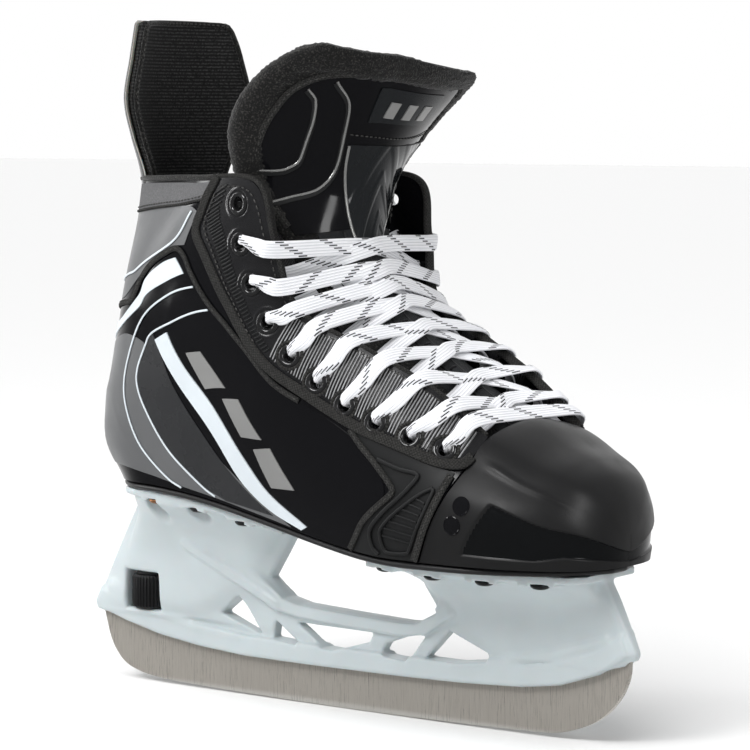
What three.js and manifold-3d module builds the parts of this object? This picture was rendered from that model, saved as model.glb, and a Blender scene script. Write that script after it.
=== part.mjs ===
// Ice hockey skate: boot, tongue, tendon guard, laces, blade holder and removable runner.
// Millimetres. +X points to the toe, +Y to the medial side of this right skate, +Z up.
// The origin is the lowest point of the runner's edge, halfway along it.
import * as THREE from 'three';
import { mergeVertices } from 'three/addons/utils/BufferGeometryUtils.js';
import Module from 'manifold-3d';

const wasm = await Module();
wasm.setup();

// ---- driving dimensions ----
const GAP = 0.3;                 // clearance between neighbouring pieces
const MEDIAL_LEAD = 11;          // the medial side of a foot reaches this much further forward
const SOLE_HEEL_Z = 92;          // underside of the outsole at the heel
const SOLE_TOE_Z = 72;           // underside of the outsole at the ball of the foot
const PITCH_FROM = -95;          // x where the sole starts to fall
const PITCH_TO = 60;             // x where the sole is level again
const SOLE_T = 3;                // outsole thickness
const BOARD_T = 2.6;             // insole board thickness
const FOOTBED_T = 4;             // removable footbed thickness
const SHELL_T = 3;               // thickness of quarters, facings and toe cap
const PAD_T = 5;                 // thickness of the ankle padding
const PAD_GAP = 1.4;             // glue and air between shell and padding
const TONGUE_T = 8;              // tongue felt and foam
const ROCKER_R = 3300;           // radius of the runner's edge, seen from the side
const FLAT_HALF = 6;             // half length of the flat at the middle of the edge
const RUNNER_T = 3;              // runner thickness
const RAIL_HALF = 5.2;           // half thickness of the holder's lower rail
const DIAL = { x: -114.3, z0: 34.5, z1: 49.5, r: 9.3, bore: 3.3 };
const STUD_R = 2.6;
const EYELET = { hole: 4.0, barrel: 3.5, inner: 2.6, flange: 5.4 };
const RIVET = { head: 4.2, shank: 2.0, hole: 2.5, seat: 5.2, flange: 4 };
const LACE_R = 1.1;

// Boot ribs of one side, front to heel centre: sole edge (x, half breadth), then low, mid, high
// and top edge (x, half breadth, z). The top edge runs down the facing and round the collar.
const RIBS = [
  [[68, 44], [75, 46.5, 91], [82, 45, 104], [88, 38, 115.5], [91, 27, 127]],
  [[44, 43.5], [49, 47, 94], [55, 47, 110], [61, 43, 127], [66, 31, 146]],
  [[15, 39.5], [19, 45, 98], [24, 48, 118], [29, 46, 141], [35, 37, 162]],
  [[-17, 36], [-16, 42, 105], [-12, 47.5, 129], [-6, 50, 155], [4, 43.5, 178]],
  [[-50, 33.5], [-48, 39, 112], [-43, 44.5, 142], [-32, 49.5, 175], [-4, 48.5, 206]],
  [[-80, 31.5], [-80, 36, 115], [-75, 40.5, 148], [-58, 46, 192], [-12, 50, 231]],
  [[-104, 26.5], [-107, 31.5, 117], [-102, 34.5, 152], [-86, 39, 199], [-50, 43, 232]],
  [[-118, 15], [-126, 18.5, 116], [-119, 19.5, 152], [-106, 22, 199], [-91, 28, 231]],
  [[-123, 0], [-132, 0, 116], [-125, 0, 152], [-116, 0, 199], [-112, 0, 230.5]],
];
const LEAD = [1, 1, 1, 1, 1, 1, 0.55, 0.1, 0];   // share of MEDIAL_LEAD that each rib takes
const HEEL_U = RIBS.length - 1;
const TOP_V = RIBS[0].length - 1;
const FACING_U = 5;                               // the facing ends at this rib

// Eyelet centres of one facing from the top down, seen from the side: x, z.
const EYELETS = [
  [-22, 221.5], [-21, 204.5], [-15.5, 187.5], [-7.5, 171.5], [4, 158],
  [17.5, 147.5], [31.5, 138.5], [46.5, 132], [62.5, 126.8], [77.5, 122],
];

// Tongue centre line on its outer face, toe to top: x, z, half width, how far the edges fall back.
const TONGUE = [
  [97, 122, 17, 7], [84, 135, 19, 8], [62, 150, 22, 10], [38, 167, 24, 10], [20, 184, 27, 12],
  [10, 203, 32, 14], [7, 224, 39, 18], [10, 246, 48, 20], [17, 267, 47, 18], [25, 284, 35, 10],
];
const TONGUE_FLARE = [8, 15, -11];   // how far the medial top corner is turned out: x, y, z
const TONGUE_CURL = 11;              // how far the lateral edge wraps back around the ankle
const TONGUE_SPLIT = 5.78;       // station of the tongue's bend line

// ---- small tools ----
const V = (x, y, z) => new THREE.Vector3(x, y, z);
const smooth = (a, b, x) => THREE.MathUtils.smoothstep(x, a, b);
const lerp = THREE.MathUtils.lerp;
const soleZ = (x) => lerp(SOLE_HEEL_Z, SOLE_TOE_Z, smooth(PITCH_FROM, PITCH_TO, x));

// Catmull-Rom value of a list of numbers at t, with straight run-outs at both ends.
function spline(list, t, after = 2 * list[list.length - 1] - list[list.length - 2]) {
  const i = Math.min(Math.max(Math.floor(t), 0), list.length - 2);
  const f = t - i;
  const before = i > 0 ? list[i - 1] : 2 * list[0] - list[1];
  const next = i + 2 < list.length ? list[i + 2] : after;
  const [p1, p2] = [list[i], list[i + 1]];
  return 0.5 * (2 * p1 + (p2 - before) * f + (2 * before - 5 * p1 + 4 * p2 - next) * f * f
    + (3 * p1 - before - 3 * p2 + next) * f * f * f);
}

function toSolid(geometry) {
  geometry.deleteAttribute('normal');
  geometry.deleteAttribute('uv');
  const merged = mergeVertices(geometry, 1e-4);
  return new wasm.Manifold(new wasm.Mesh({
    numProp: 3,
    vertProperties: Float32Array.from(merged.attributes.position.array),
    triVerts: Uint32Array.from(merged.index.array),
  }));
}

function toGeometry(solid) {
  const mesh = solid.getMesh();
  const geometry = new THREE.BufferGeometry();
  geometry.setAttribute('position', new THREE.BufferAttribute(mesh.vertProperties, 3));
  geometry.setIndex(new THREE.BufferAttribute(mesh.triVerts, 1));
  return geometry;
}

// Closed solid between two grids of points, outer(i, j) and inner(i, j).
function slab(ni, nj, outer, inner) {
  const points = [];
  const faces = [];
  const id = (layer, i, j) => (layer * (ni + 1) + i) * (nj + 1) + j;
  for (const grid of [outer, inner]) {
    for (let i = 0; i <= ni; i += 1) {
      for (let j = 0; j <= nj; j += 1) points.push(...grid(i / ni, j / nj).toArray());
    }
  }
  const quad = (a, b, c, d) => faces.push(a, b, c, a, c, d);
  for (let i = 0; i < ni; i += 1) {
    for (let j = 0; j < nj; j += 1) {
      quad(id(0, i, j), id(0, i + 1, j), id(0, i + 1, j + 1), id(0, i, j + 1));
      quad(id(1, i, j), id(1, i, j + 1), id(1, i + 1, j + 1), id(1, i + 1, j));
    }
  }
  for (let i = 0; i < ni; i += 1) {
    quad(id(0, i, 0), id(1, i, 0), id(1, i + 1, 0), id(0, i + 1, 0));
    quad(id(0, i, nj), id(0, i + 1, nj), id(1, i + 1, nj), id(1, i, nj));
  }
  for (let j = 0; j < nj; j += 1) {
    quad(id(0, 0, j), id(0, 0, j + 1), id(1, 0, j + 1), id(1, 0, j));
    quad(id(0, ni, j), id(1, ni, j), id(1, ni, j + 1), id(0, ni, j + 1));
  }
  const geometry = new THREE.BufferGeometry();
  geometry.setAttribute('position', new THREE.Float32BufferAttribute(points, 3));
  geometry.setIndex(faces);
  return outward(geometry);
}

// Turns the faces round if the enclosed volume comes out negative.
function outward(geometry) {
  const p = geometry.attributes.position;
  const index = geometry.index.array;
  let volume = 0;
  const [a, b, c] = [V(), V(), V()];
  for (let k = 0; k < index.length; k += 3) {
    a.fromBufferAttribute(p, index[k]);
    b.fromBufferAttribute(p, index[k + 1]);
    c.fromBufferAttribute(p, index[k + 2]);
    volume += a.dot(b.cross(c));
  }
  if (volume < 0) {
    for (let k = 0; k < index.length; k += 3) [index[k], index[k + 1]] = [index[k + 1], index[k]];
  }
  return geometry;
}

// Outline in the X-Z plane, extruded from y0 to y1.
function sideExtrude(points, y0, y1) {
  const shape = new THREE.Shape(points.map(([x, z]) => new THREE.Vector2(x, z)));
  const geometry = new THREE.ExtrudeGeometry(shape, { depth: y1 - y0, bevelEnabled: false });
  return geometry.rotateX(Math.PI / 2).translate(0, y1, 0);
}

const pole = (r, z0, z1, x, y, sides = 8) => new THREE.CylinderGeometry(r, r, z1 - z0, sides)
  .rotateX(Math.PI / 2).translate(x, y, (z0 + z1) / 2);

// Turned piece about +Y from a profile of radius and height.
const turned = (profile, sides) => outward(new THREE.LatheGeometry(
  profile.map(([r, h]) => new THREE.Vector2(r, h)), sides));
const ring = (profile, sides) => turned([...profile, profile[0]], sides);

// ---- boot surface ----
// u runs over the ribs, 0 at the toe cap seam to HEEL_U at the heel centre; v from sole to top.
function bootPoint(side, u, v) {
  const columns = RIBS.map((rib, k) => [0, 1, 2].map((axis) => {
    const level = spline(rib.map((point) => point[axis] ?? soleZ(point[0]) + SOLE_T + GAP), v);
    return axis === 0 && side > 0 ? level + MEDIAL_LEAD * LEAD[k] : level;
  }));
  const past = columns[HEEL_U - 1];
  const [x, y, z] = [0, 1, 2].map((axis) => spline(columns.map((c) => c[axis]), u,
    axis === 1 ? -past[1] : past[axis]));
  return V(x, side * y, z);
}

function bootNormal(side, u, v) {
  const e = 0.02;
  const du = bootPoint(side, Math.min(u + e, HEEL_U), v).sub(bootPoint(side, Math.max(u - e, 0), v));
  const dv = bootPoint(side, u, Math.min(v + e, TOP_V)).sub(bootPoint(side, u, Math.max(v - e, 0)));
  return side < 0 ? dv.cross(du).normalize() : du.cross(dv).normalize();
}

// Point at depth d below the boot's outer face.
const bootAt = (side, u, v, d) => bootPoint(side, u, v).addScaledVector(bootNormal(side, u, v), -d);

// Wall between two depths over a patch of the boot surface.
function wall(side, nu, nv, [u0, u1], vLow, vHigh, [dOut, dIn]) {
  const grid = (d) => (i, j) => {
    const u = lerp(u0, u1, i);
    return bootAt(side, u, lerp(vLow(u), vHigh(u), j), d);
  };
  return slab(nu, nv, grid(dOut), grid(dIn));
}

// The seam between the quarter and the facing, as a value of v.
const seamV = (u) => 2.4 + 0.95 * smooth(2, 5, u);
const quarterTop = (u) => (u < FACING_U ? seamV(u) - 0.015
  : lerp(seamV(u), TOP_V, smooth(FACING_U, FACING_U + 0.25, u)));

// The place on the boot surface, as u and v, that lies at x, z on the lateral side.
function findOnBoot(x, z) {
  let [u, v] = [2.5, 3.5];
  for (let step = 0; step < 60; step += 1) {
    const e = 0.01;
    const p = bootPoint(-1, u, v);
    const pu = bootPoint(-1, u + e, v).sub(p).divideScalar(e);
    const pv = bootPoint(-1, u, v + e).sub(p).divideScalar(e);
    const det = pu.x * pv.z - pv.x * pu.z;
    const [ex, ez] = [x - p.x, z - p.z];
    u = THREE.MathUtils.clamp(u + 0.5 * (ex * pv.z - pv.x * ez) / det, 0, FACING_U);
    v = THREE.MathUtils.clamp(v + 0.5 * (pu.x * ez - ex * pu.z) / det, 2.5, TOP_V);
  }
  return [u, v];
}
const EYELET_UV = EYELETS.map(([x, z]) => findOnBoot(x, z));

// Places a piece made along +Y onto the boot surface, +Y along the surface's normal.
function ontoBoot(geometry, side, [u, v]) {
  const turn = new THREE.Quaternion().setFromUnitVectors(V(0, 1, 0), bootNormal(side, u, v));
  const at = bootPoint(side, u, v);
  return geometry.applyQuaternion(turn).translate(at.x, at.y, at.z);
}

// ---- sole ----
// Half outline of the sole, heel to toe: x, half breadth, share of the medial lead.
const SOLE = [
  [-124, 3, 0], [-119, 15, 0.1], [-104, 27, 0.5], [-80, 32, 0.8], [-50, 34, 1], [-17, 36.5, 1],
  [15, 40, 1], [44, 44, 1], [70, 45, 1], [95, 42, 0.8], [117, 33, 0.5], [131, 21, 0.2], [139, 6, 0],
];

function soleEdge(side, t, inset) {
  const s = t * (SOLE.length - 1);
  const x = spline(SOLE.map((p) => p[0]), s);
  const half = spline(SOLE.map((p) => p[1]), s);
  const lead = spline(SOLE.map((p) => p[2]), s);
  const centre = 10;
  const shrink = 1 - inset / 130;
  return V(centre + (x - centre) * shrink + (side > 0 ? MEDIAL_LEAD * lead : 0),
    side * Math.max(half - inset, 0.5), 0);
}

function solePlate(inset, rise, thickness) {
  const grid = (lift) => (i, j) => {
    const p = soleEdge(-1, i, inset).lerp(soleEdge(1, i, inset), j);
    return p.setZ(soleZ(p.x) + lift);
  };
  return slab(24, 2, grid(rise + thickness), grid(rise));
}

// ---- toe cap ----
const CAP_TIP = 143;
const CAP_CREST = [95, 0, 133];                   // top of the cap's rear arch
// How much of its height the cap keeps from the seam to the tip, in equal steps.
const CAP_HEIGHT = [1, 0.84, 0.74, 0.63, 0.46, 0.24];
const CAP_SQUARE = 2.6;                           // superellipse power of the toe in plan

// a runs over the arch from the lateral sole edge to the medial one; s from seam to tip.
function capPoint(a, s, d) {
  const arch = [0, 1, 2, 3, 4].map((v) => bootPoint(-1, 0, v)).concat([V(...CAP_CREST)],
    [4, 3, 2, 1, 0].map((v) => bootPoint(1, 0, v)));
  const at = a * (arch.length - 1);
  const [x, y, z] = ['x', 'y', 'z'].map((axis) => spline(arch.map((p) => p[axis]), at));
  const ease = 2 / CAP_SQUARE;
  const ahead = Math.pow(Math.sin(s * Math.PI / 2), ease);
  const across = Math.max(Math.pow(Math.cos(s * Math.PI / 2), ease), 0.03);
  const base = SOLE_TOE_Z + SOLE_T + GAP;
  const keep = spline(CAP_HEIGHT, s * (CAP_HEIGHT.length - 1));
  const thin = 1 - d / 46;
  return V(lerp(x, CAP_TIP - d, ahead), y * across * thin,
    base + (z - base) * keep * (1 - d / 56));
}

// ---- tongue ----
const tongueValue = (s, k) => spline(TONGUE.map((row) => row[k]), s);

// Point of the tongue's outer face: s along it, c from -1 lateral edge to 1 medial edge.
function tonguePoint(s, c, d) {
  const e = 0.05;
  const along = V(tongueValue(s + e, 0) - tongueValue(s - e, 0), 0,
    tongueValue(s + e, 1) - tongueValue(s - e, 1)).normalize();
  const out = V(along.z, 0, -along.x);
  const half = tongueValue(s, 2);
  const back = tongueValue(s, 3);
  const yaw = 0.1 * smooth(4, 8, s);
  const flare = Math.max(c, 0) * smooth(6, 9, s);
  const curl = Math.max(-c, 0) ** 2 * smooth(5.2, 6.4, s) * (1 - smooth(6.9, 9, s));
  const p = V(tongueValue(s, 0), 0, tongueValue(s, 1)).addScaledVector(out, -back * c * c);
  const face = out.clone().addScaledVector(V(0, 1, 0), (2 * back * c) / half).normalize();
  p.y = c * half + 3 * smooth(4, 8, s);
  p.x += yaw * c * half - TONGUE_CURL * curl;
  p.addScaledVector(V(...TONGUE_FLARE), flare);
  return p.addScaledVector(face, -d);
}

function tongueSheet(ns, [s0, s1], [dOut, dIn], reach = 1) {
  const grid = (d) => (i, j) => tonguePoint(lerp(s0, s1, i), lerp(-reach, reach, j), d);
  return slab(ns, 12, grid(dOut), grid(dIn));
}

// ---- tendon guard ----
// Rows from the bend line up: z, half width, x at the centre, x at the edges.
const GUARD = [[233.5, 27, -111, -95], [250, 36, -110, -94], [266, 42, -109, -93],
  [284, 37, -107, -94], [300.5, 31, -105, -96]];

function guardSheet([dOut, dIn], trim) {
  const grid = (d) => (i, j) => {
    const t = i * (GUARD.length - 1);
    const c = lerp(-1, 1, j);
    const [z, half, mid, edge] = [0, 1, 2, 3].map((k) => spline(GUARD.map((row) => row[k]), t));
    return V(lerp(mid, edge, c * c) + d, c * (half - trim), z);
  };
  return slab(8, 8, grid(dOut), grid(dIn));
}

// ---- runner and holder ----
// Meeting line of steel and holder, rear to front: x, z.
const MEETING = [[-142.5, 32], [-126, 27.2], [-106, 22.8], [-84, 19.9], [-57, 18], [-23, 17.7],
  [32, 18], [63, 18.7], [92, 20.2], [111, 23], [130, 29.4], [143.5, 37]];
const RUNNER_REST = 6;           // depth of the steel inside the holder

const runnerTop = (grow) => MEETING.slice(1, -1).map(([x, z]) => [x * 0.985, z + RUNNER_REST + grow]);

function runnerOutline() {
  const edge = [[-142.5, 32], [-138.5, 18.5], [-134, 11], [-128, 6.2], [-118, 3.2]];
  for (let x = -100; x <= 90; x += 10) {
    if (Math.abs(x) > FLAT_HALF) edge.push([x, (x * x - FLAT_HALF * FLAT_HALF) / (2 * ROCKER_R)]);
    else edge.push([-FLAT_HALF, 0], [FLAT_HALF, 0]);
  }
  edge.push([110, 3.8], [122, 7.4], [131, 12.4], [138.5, 19.5], [142.6, 28], [143.5, 37]);
  return [...edge, ...runnerTop(0).reverse()];
}

const REAR_TAB = [DIAL.x - 6, DIAL.x + 6, 33.4];
const FRONT_TAB = [112, 124, 43];
const tabShape = ([x0, x1, z], grow) => [[x0 - grow, 24], [x1 + grow, 24], [x1 + grow, z + grow],
  [x0 - grow, z + grow]];

function makeRunner() {
  const half = RUNNER_T / 2;
  return toGeometry(toSolid(sideExtrude(runnerOutline(), -half, half))
    .add(toSolid(sideExtrude(tabShape(REAR_TAB, 0), -half, half)))
    .add(toSolid(sideExtrude(tabShape(FRONT_TAB, 0), -half, half))));
}

// Side outline of the holder without its towers' flare.
const HOLDER_SIDE = [
  ...MEETING.slice(0, -1), [144.5, 39], [132.5, 68], [130, 74], [36, 74], [41, 62], [50, 47.5],
  [38, 42], [31, 41.5], [4, 42.5], [-25, 44], [-34, 46], [-44, 54.5], [-28, 80], [-24, 90],
  [-115.5, 93], [-119, 84], [-143.5, 35],
];
const WINDOWS = [
  [[-60, 44], [-69.5, 36.3], [-48.6, 29]],
  [[-39.5, 34.5], [-40.5, 28], [-27.6, 26.2]],
  [[-26.5, 35.2], [-20, 31], [-13, 26.3], [-7, 26], [11.5, 31.3], [13.2, 34.6]],
  [[19.5, 28], [21, 26.3], [32.5, 25.4], [41, 36.5], [31, 34.5], [21.5, 31]],
  [[43, 27.4], [58, 27.4], [74.5, 29.6], [74, 32], [63, 36], [54.5, 39.3]],
];

// Towers as stacks of rounded sections: z, rear x, front x, half breadth.
const REAR_TOWER = [[33, -140, -76, 5.2], [38, -138, -72, 7.4], [50, -132, -52, 8.4],
  [62, -125.5, -42, 10.5], [72, -120.5, -35, 14.5], [79, -117, -31, 20], [84, -115.5, -25, 26],
  [87, -115.5, -20, 28.5], [93, -115.5, -16, 28.5]];
const FRONT_TOWER = [[34, 84, 142, 5.2], [42, 66, 140, 6.4], [50, 55, 137, 8.4], [57, 46, 134, 12],
  [62, 42, 132, 18], [66, 38, 130, 27], [69, 34, 129, 33], [76, 30, 128.5, 33]];

function tower(rows, squareness, taperTo) {
  const sides = 22;
  const grid = (i, j) => {
    const [z, x0, x1, half] = [0, 1, 2, 3].map((k) => spline(rows.map((row) => row[k]),
      j * (rows.length - 1)));
    const theta = 2 * Math.PI * i;
    const power = 2 / squareness;
    const k = Math.sign(Math.cos(theta)) * Math.pow(Math.abs(Math.cos(theta)), power);
    const h = Math.sign(Math.sin(theta)) * Math.pow(Math.abs(Math.sin(theta)), power);
    const x = lerp(x0, x1, (k + 1) / 2);
    return V(x, half * h * lerp(1, taperTo, (k + 1) / 2), z);
  };
  const levels = rows.length - 1;
  const points = [];
  const faces = [];
  for (let j = 0; j <= levels; j += 1) {
    for (let i = 0; i < sides; i += 1) points.push(...grid(i / sides, j / levels).toArray());
  }
  const caps = [0, levels].map((j) => {
    points.push((rows[j][1] + rows[j][2]) / 2, 0, rows[j][0]);
    return points.length / 3 - 1;
  });
  for (let i = 0; i < sides; i += 1) {
    const n = (i + 1) % sides;
    for (let j = 0; j < levels; j += 1) {
      const [a, b] = [j * sides + i, j * sides + n];
      faces.push(a, b, b + sides, a, b + sides, a + sides);
    }
    faces.push(caps[0], n, i, caps[1], levels * sides + i, levels * sides + n);
  }
  const geometry = new THREE.BufferGeometry();
  geometry.setAttribute('position', new THREE.Float32BufferAttribute(points, 3));
  geometry.setIndex(faces);
  return outward(geometry);
}

// Rivet places: x and half breadth, rear tower then front tower.
const RIVETS = [[-91.5, 22], [-66, 24], [-40, 24.5], [38, 26], [64, 28], [90, 28], [114, 23]];

function makeHolder() {
  let body = toSolid(sideExtrude(HOLDER_SIDE, -RAIL_HALF, RAIL_HALF))
    .add(toSolid(tower(REAR_TOWER, 3.4, 1)))
    .add(toSolid(tower(FRONT_TOWER, 3.0, 0.9)));
  const wide = 40;
  const overSole = [[-150, 130]];
  for (let x = -150; x <= 150; x += 10) overSole.push([x, soleZ(x) - GAP]);
  overSole.push([150, 130]);
  const cut = (geometry) => { body = body.subtract(toSolid(geometry)); };
  cut(sideExtrude(overSole, -wide, wide));
  for (const window of WINDOWS) cut(sideExtrude(window, -wide, wide));
  const slotHalf = RUNNER_T / 2 + GAP;
  cut(sideExtrude([[-160, 0], [160, 0], [160, 38], [143.9, 37.4], ...runnerTop(GAP).reverse(),
    [-142.9, 32.3], [-160, 32]], -slotHalf, slotHalf));
  cut(sideExtrude(tabShape(REAR_TAB, GAP), -slotHalf, slotHalf));
  cut(sideExtrude(tabShape(FRONT_TAB, GAP), -slotHalf, slotHalf));
  cut(sideExtrude([[DIAL.x - DIAL.r - 0.8, DIAL.z0 - 0.5], [DIAL.x + DIAL.r + 0.8, DIAL.z0 - 0.5],
    [DIAL.x + DIAL.r + 0.8, DIAL.z1 + 1.8], [DIAL.x - DIAL.r - 0.8, DIAL.z1 + 1.8]], -wide, wide));
  cut(pole(STUD_R + 0.7, 15, 66, DIAL.x, 0, 12));
  for (const [x, y] of RIVETS) {
    const seat = soleZ(x) - RIVET.flange;
    for (const side of [-1, 1]) {
      cut(pole(RIVET.seat, seat - 14, seat, x, side * y, 10));
      cut(pole(RIVET.hole, seat - 1, seat + 12, x, side * y));
    }
  }
  return toGeometry(body);
}

function makeRivet(x, y) {
  const seat = soleZ(x) - RIVET.flange - GAP;
  const profile = [[0, seat + RIVET.flange + SOLE_T], [RIVET.shank, seat + RIVET.flange + SOLE_T],
    [RIVET.shank, seat], [RIVET.head, seat], [RIVET.head * 0.72, seat - 1.5], [0, seat - 1.9]];
  return turned(profile, 8).rotateX(Math.PI / 2).translate(x, y, 0);
}

// The value between low and high at which point(value) comes nearest to a target.
function nearest(point, target, low, high) {
  let best = low;
  for (let k = 0; k <= 200; k += 1) {
    const value = lerp(low, high, k / 200);
    if (point(value).distanceTo(target) < point(best).distanceTo(target)) best = value;
  }
  return best;
}

// ---- lace ----
// Where each eyelet's lace crosses the facing's free edge, as a value of u.
const EDGE_U = EYELET_UV.map(([u, v]) => nearest((t) => bootPoint(-1, t, TOP_V),
  bootPoint(-1, u, v), 0, FACING_U));

// One lace, laced outside in. Each run leaves an eyelet outside, goes over its facing's edge and
// the tongue, and passes under the other facing into the next eyelet down.
function laceRun(side, k) {
  const here = EYELET_UV[k];
  const there = EYELET_UV[k + 1];
  const leave = lerp(EDGE_U[k], EDGE_U[k + 1], 0.15);
  const enter = EDGE_U[k + 1];
  const s = nearest((t) => tonguePoint(t, 0, 0).setY(0),
    bootPoint(-1, lerp(leave, enter, 0.5), TOP_V).setY(0), 0, TONGUE_SPLIT);
  const over = side > 0 ? 6 : 2.8;
  return [
    bootAt(side, here[0], here[1], -2.9),
    bootAt(side, lerp(here[0], leave, 0.6), lerp(here[1], TOP_V, 0.6), -5),
    bootAt(side, leave, TOP_V, -5.6).add(V(0, -side * 3.5, 0)),
    tonguePoint(s, 0, -over),
    tonguePoint(s - 0.1, -side * 0.6, -4.8),
    bootAt(-side, enter, TOP_V, 3.2).add(V(0, side * 6.5, 0)),
    bootAt(-side, lerp(there[0], enter, 0.5), lerp(there[1], TOP_V, 0.6), SHELL_T + 3.4),
    bootAt(-side, there[0], there[1], SHELL_T + 3.0),
  ];
}

// The loose end that hangs inside the boot, from its tip up to the second eyelet.
const LACE_END = [[-44, 27, 118], [-42, 29, 140], [-38, 31, 165], [-27, 33, 190]];
const laceEnd = (side) => [...LACE_END.map(([x, y, z]) => V(x, side * y, z)),
  bootAt(side, ...EYELET_UV[1], SHELL_T + 3.0)];

function lacePath() {
  const last = EYELETS.length - 1;
  const half = (first) => {
    let side = first;
    const points = [];
    for (let k = 1; k < last; k += 1) {
      points.push(...laceRun(side, k));
      side = -side;
    }
    return { points, side };
  };
  const a = half(1);
  const b = half(-1);
  const barSide = (side) => [bootAt(side, ...EYELET_UV[last], -2.9),
    bootAt(side, lerp(EYELET_UV[last][0], EDGE_U[last], 0.6), 3.65, -3.6),
    bootAt(side, EDGE_U[last], TOP_V, -3.6).add(V(0, -side * 3, 0))];
  const bar = [...barSide(-1), tonguePoint(0.75, 0, -6), ...barSide(1).reverse()];
  if (a.side > 0) bar.reverse();
  return [...laceEnd(1), ...a.points, ...bar, ...b.points.reverse(), ...laceEnd(-1).reverse()];
}

function makeLace() {
  const curve = new THREE.CatmullRomCurve3(lacePath(), false, 'centripetal');
  const section = new THREE.Shape();
  section.absellipse(0, 0, LACE_R, LACE_R, 0, 2 * Math.PI);
  return new THREE.ExtrudeGeometry(new THREE.Shape(section.getPoints(2).slice(0, -1)),
    { steps: 320, extrudePath: curve, bevelEnabled: false });
}

// ---- assembly ----
const skate = new THREE.Group();
const MATERIALS = {
  gloss_shell: [0x111214, 0.22, 0], matte_shell: [0x232426, 0.6, 0], facing: [0x2a2a2c, 0.75, 0],
  felt: [0x141414, 0.95, 0], plastic: [0x1b1c1e, 0.25, 0], white_plastic: [0xdde6ea, 0.35, 0],
  steel: [0xb9b2a8, 0.3, 1], black_metal: [0x18181a, 0.4, 0.8], copper: [0xb4622f, 0.35, 1],
  lace: [0xf2f2f4, 0.9, 0], board: [0x55504a, 0.8, 0], grey_pad: [0x3a3a3c, 0.85, 0],
};

function addPiece(name, geometry, material) {
  const [color, roughness, metalness] = MATERIALS[material];
  const mesh = new THREE.Mesh(geometry, new THREE.MeshStandardMaterial({ color, roughness, metalness }));
  mesh.name = name;
  skate.add(mesh);
}

const SIDES = [['lateral', -1], ['medial', 1]];
const sole = () => 0;
const top = () => TOP_V;

let outsole = toSolid(solePlate(-0.5, 0, SOLE_T - GAP));
for (const [x, y] of RIVETS) {
  for (const side of [-1, 1]) {
    outsole = outsole.subtract(toSolid(pole(RIVET.hole, 60, 110, x, side * y)));
  }
}
addPiece('outsole', toGeometry(outsole), 'matte_shell');
addPiece('insole_board', solePlate(7, SOLE_T + GAP, BOARD_T), 'board');
addPiece('footbed', solePlate(8, SOLE_T + BOARD_T + 3 * GAP, FOOTBED_T), 'grey_pad');

for (const [name, side] of SIDES) {
  addPiece(`quarter_${name}`, wall(side, 24, 7, [0.03, HEEL_U - 0.015], sole, quarterTop,
    [0, SHELL_T]), 'gloss_shell');
  let facing = toSolid(wall(side, 18, 3, [0.03, FACING_U], (u) => seamV(u) + 0.015, top,
    [0, SHELL_T]));
  for (const uv of EYELET_UV) {
    const drill = new THREE.CylinderGeometry(EYELET.hole, EYELET.hole, 12, 8);
    facing = facing.subtract(toSolid(ontoBoot(drill, side, uv)));
  }
  addPiece(`facing_${name}`, toGeometry(facing), 'facing');
  const padTop = (u) => lerp(3.1, 3.93, smooth(FACING_U, FACING_U + 0.4, u));
  addPiece(`ankle_pad_${name}`, wall(side, 16, 8, [4.2, HEEL_U - 0.03], () => 0.7, padTop,
    [SHELL_T + PAD_GAP, SHELL_T + PAD_GAP + PAD_T]), 'grey_pad');
  EYELET_UV.forEach((uv, k) => {
    const profile = [[EYELET.inner, -SHELL_T - 0.6], [EYELET.barrel, -SHELL_T - 0.6],
      [EYELET.barrel, 0.4], [EYELET.flange, 0.4], [EYELET.flange - 0.3, 1.2], [EYELET.inner, 1.2]];
    addPiece(`eyelet_${name}_${String(k + 1).padStart(2, '0')}`,
      ontoBoot(ring(profile, 8), side, uv), 'black_metal');
  });
  RIVETS.forEach(([x, y], k) => addPiece(`rivet_${name}_${k + 1}`, makeRivet(x, side * y),
    k === 0 ? 'copper' : 'black_metal'));
}

addPiece('toe_cap', slab(18, 8, (i, j) => capPoint(i, j, 0), (i, j) => capPoint(i, j, SHELL_T)),
  'matte_shell');
addPiece('tongue_lower', tongueSheet(14, [0, TONGUE_SPLIT - 0.02], [0, TONGUE_T]), 'felt');
addPiece('tongue_upper', tongueSheet(8, [TONGUE_SPLIT + 0.02, TONGUE.length - 1],
  [1.4 + GAP, TONGUE_T]), 'felt');
addPiece('tongue_shield', tongueSheet(6, [TONGUE_SPLIT + 0.02, TONGUE.length - 1.9], [0, 1.4], 0.8),
  'plastic');
addPiece('tendon_guard', guardSheet([0, 2], 0), 'plastic');
addPiece('tendon_guard_liner', guardSheet([2.3, 7], 2), 'felt');
addPiece('lace', makeLace(), 'lace');

addPiece('holder', makeHolder(), 'white_plastic');
addPiece('runner', makeRunner(), 'steel');
addPiece('runner_stud', pole(STUD_R, REAR_TAB[2] + GAP, 60, DIAL.x, 0, 10), 'black_metal');
addPiece('lock_dial', ring([[DIAL.bore, DIAL.z0], [DIAL.r - 0.8, DIAL.z0], [DIAL.r, DIAL.z0 + 2],
  [DIAL.r, DIAL.z1 - 2], [DIAL.r - 0.8, DIAL.z1], [DIAL.bore, DIAL.z1]], 20)
  .rotateX(Math.PI / 2).translate(DIAL.x, 0, 0), 'plastic');
addPiece('lock_washer', ring([[DIAL.bore, DIAL.z1 + GAP], [7, DIAL.z1 + GAP], [7, DIAL.z1 + 1.4],
  [DIAL.bore, DIAL.z1 + 1.4]], 16).rotateX(Math.PI / 2).translate(DIAL.x, 0, 0),
  'black_metal');

export default skate;
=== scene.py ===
"""Looks of the ice hockey skate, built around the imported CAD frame. Shapes are worked out in
millimetres in the row frame (+X toe, +Y medial, +Z up) and turned into metres when a mesh is made."""

import math

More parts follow.
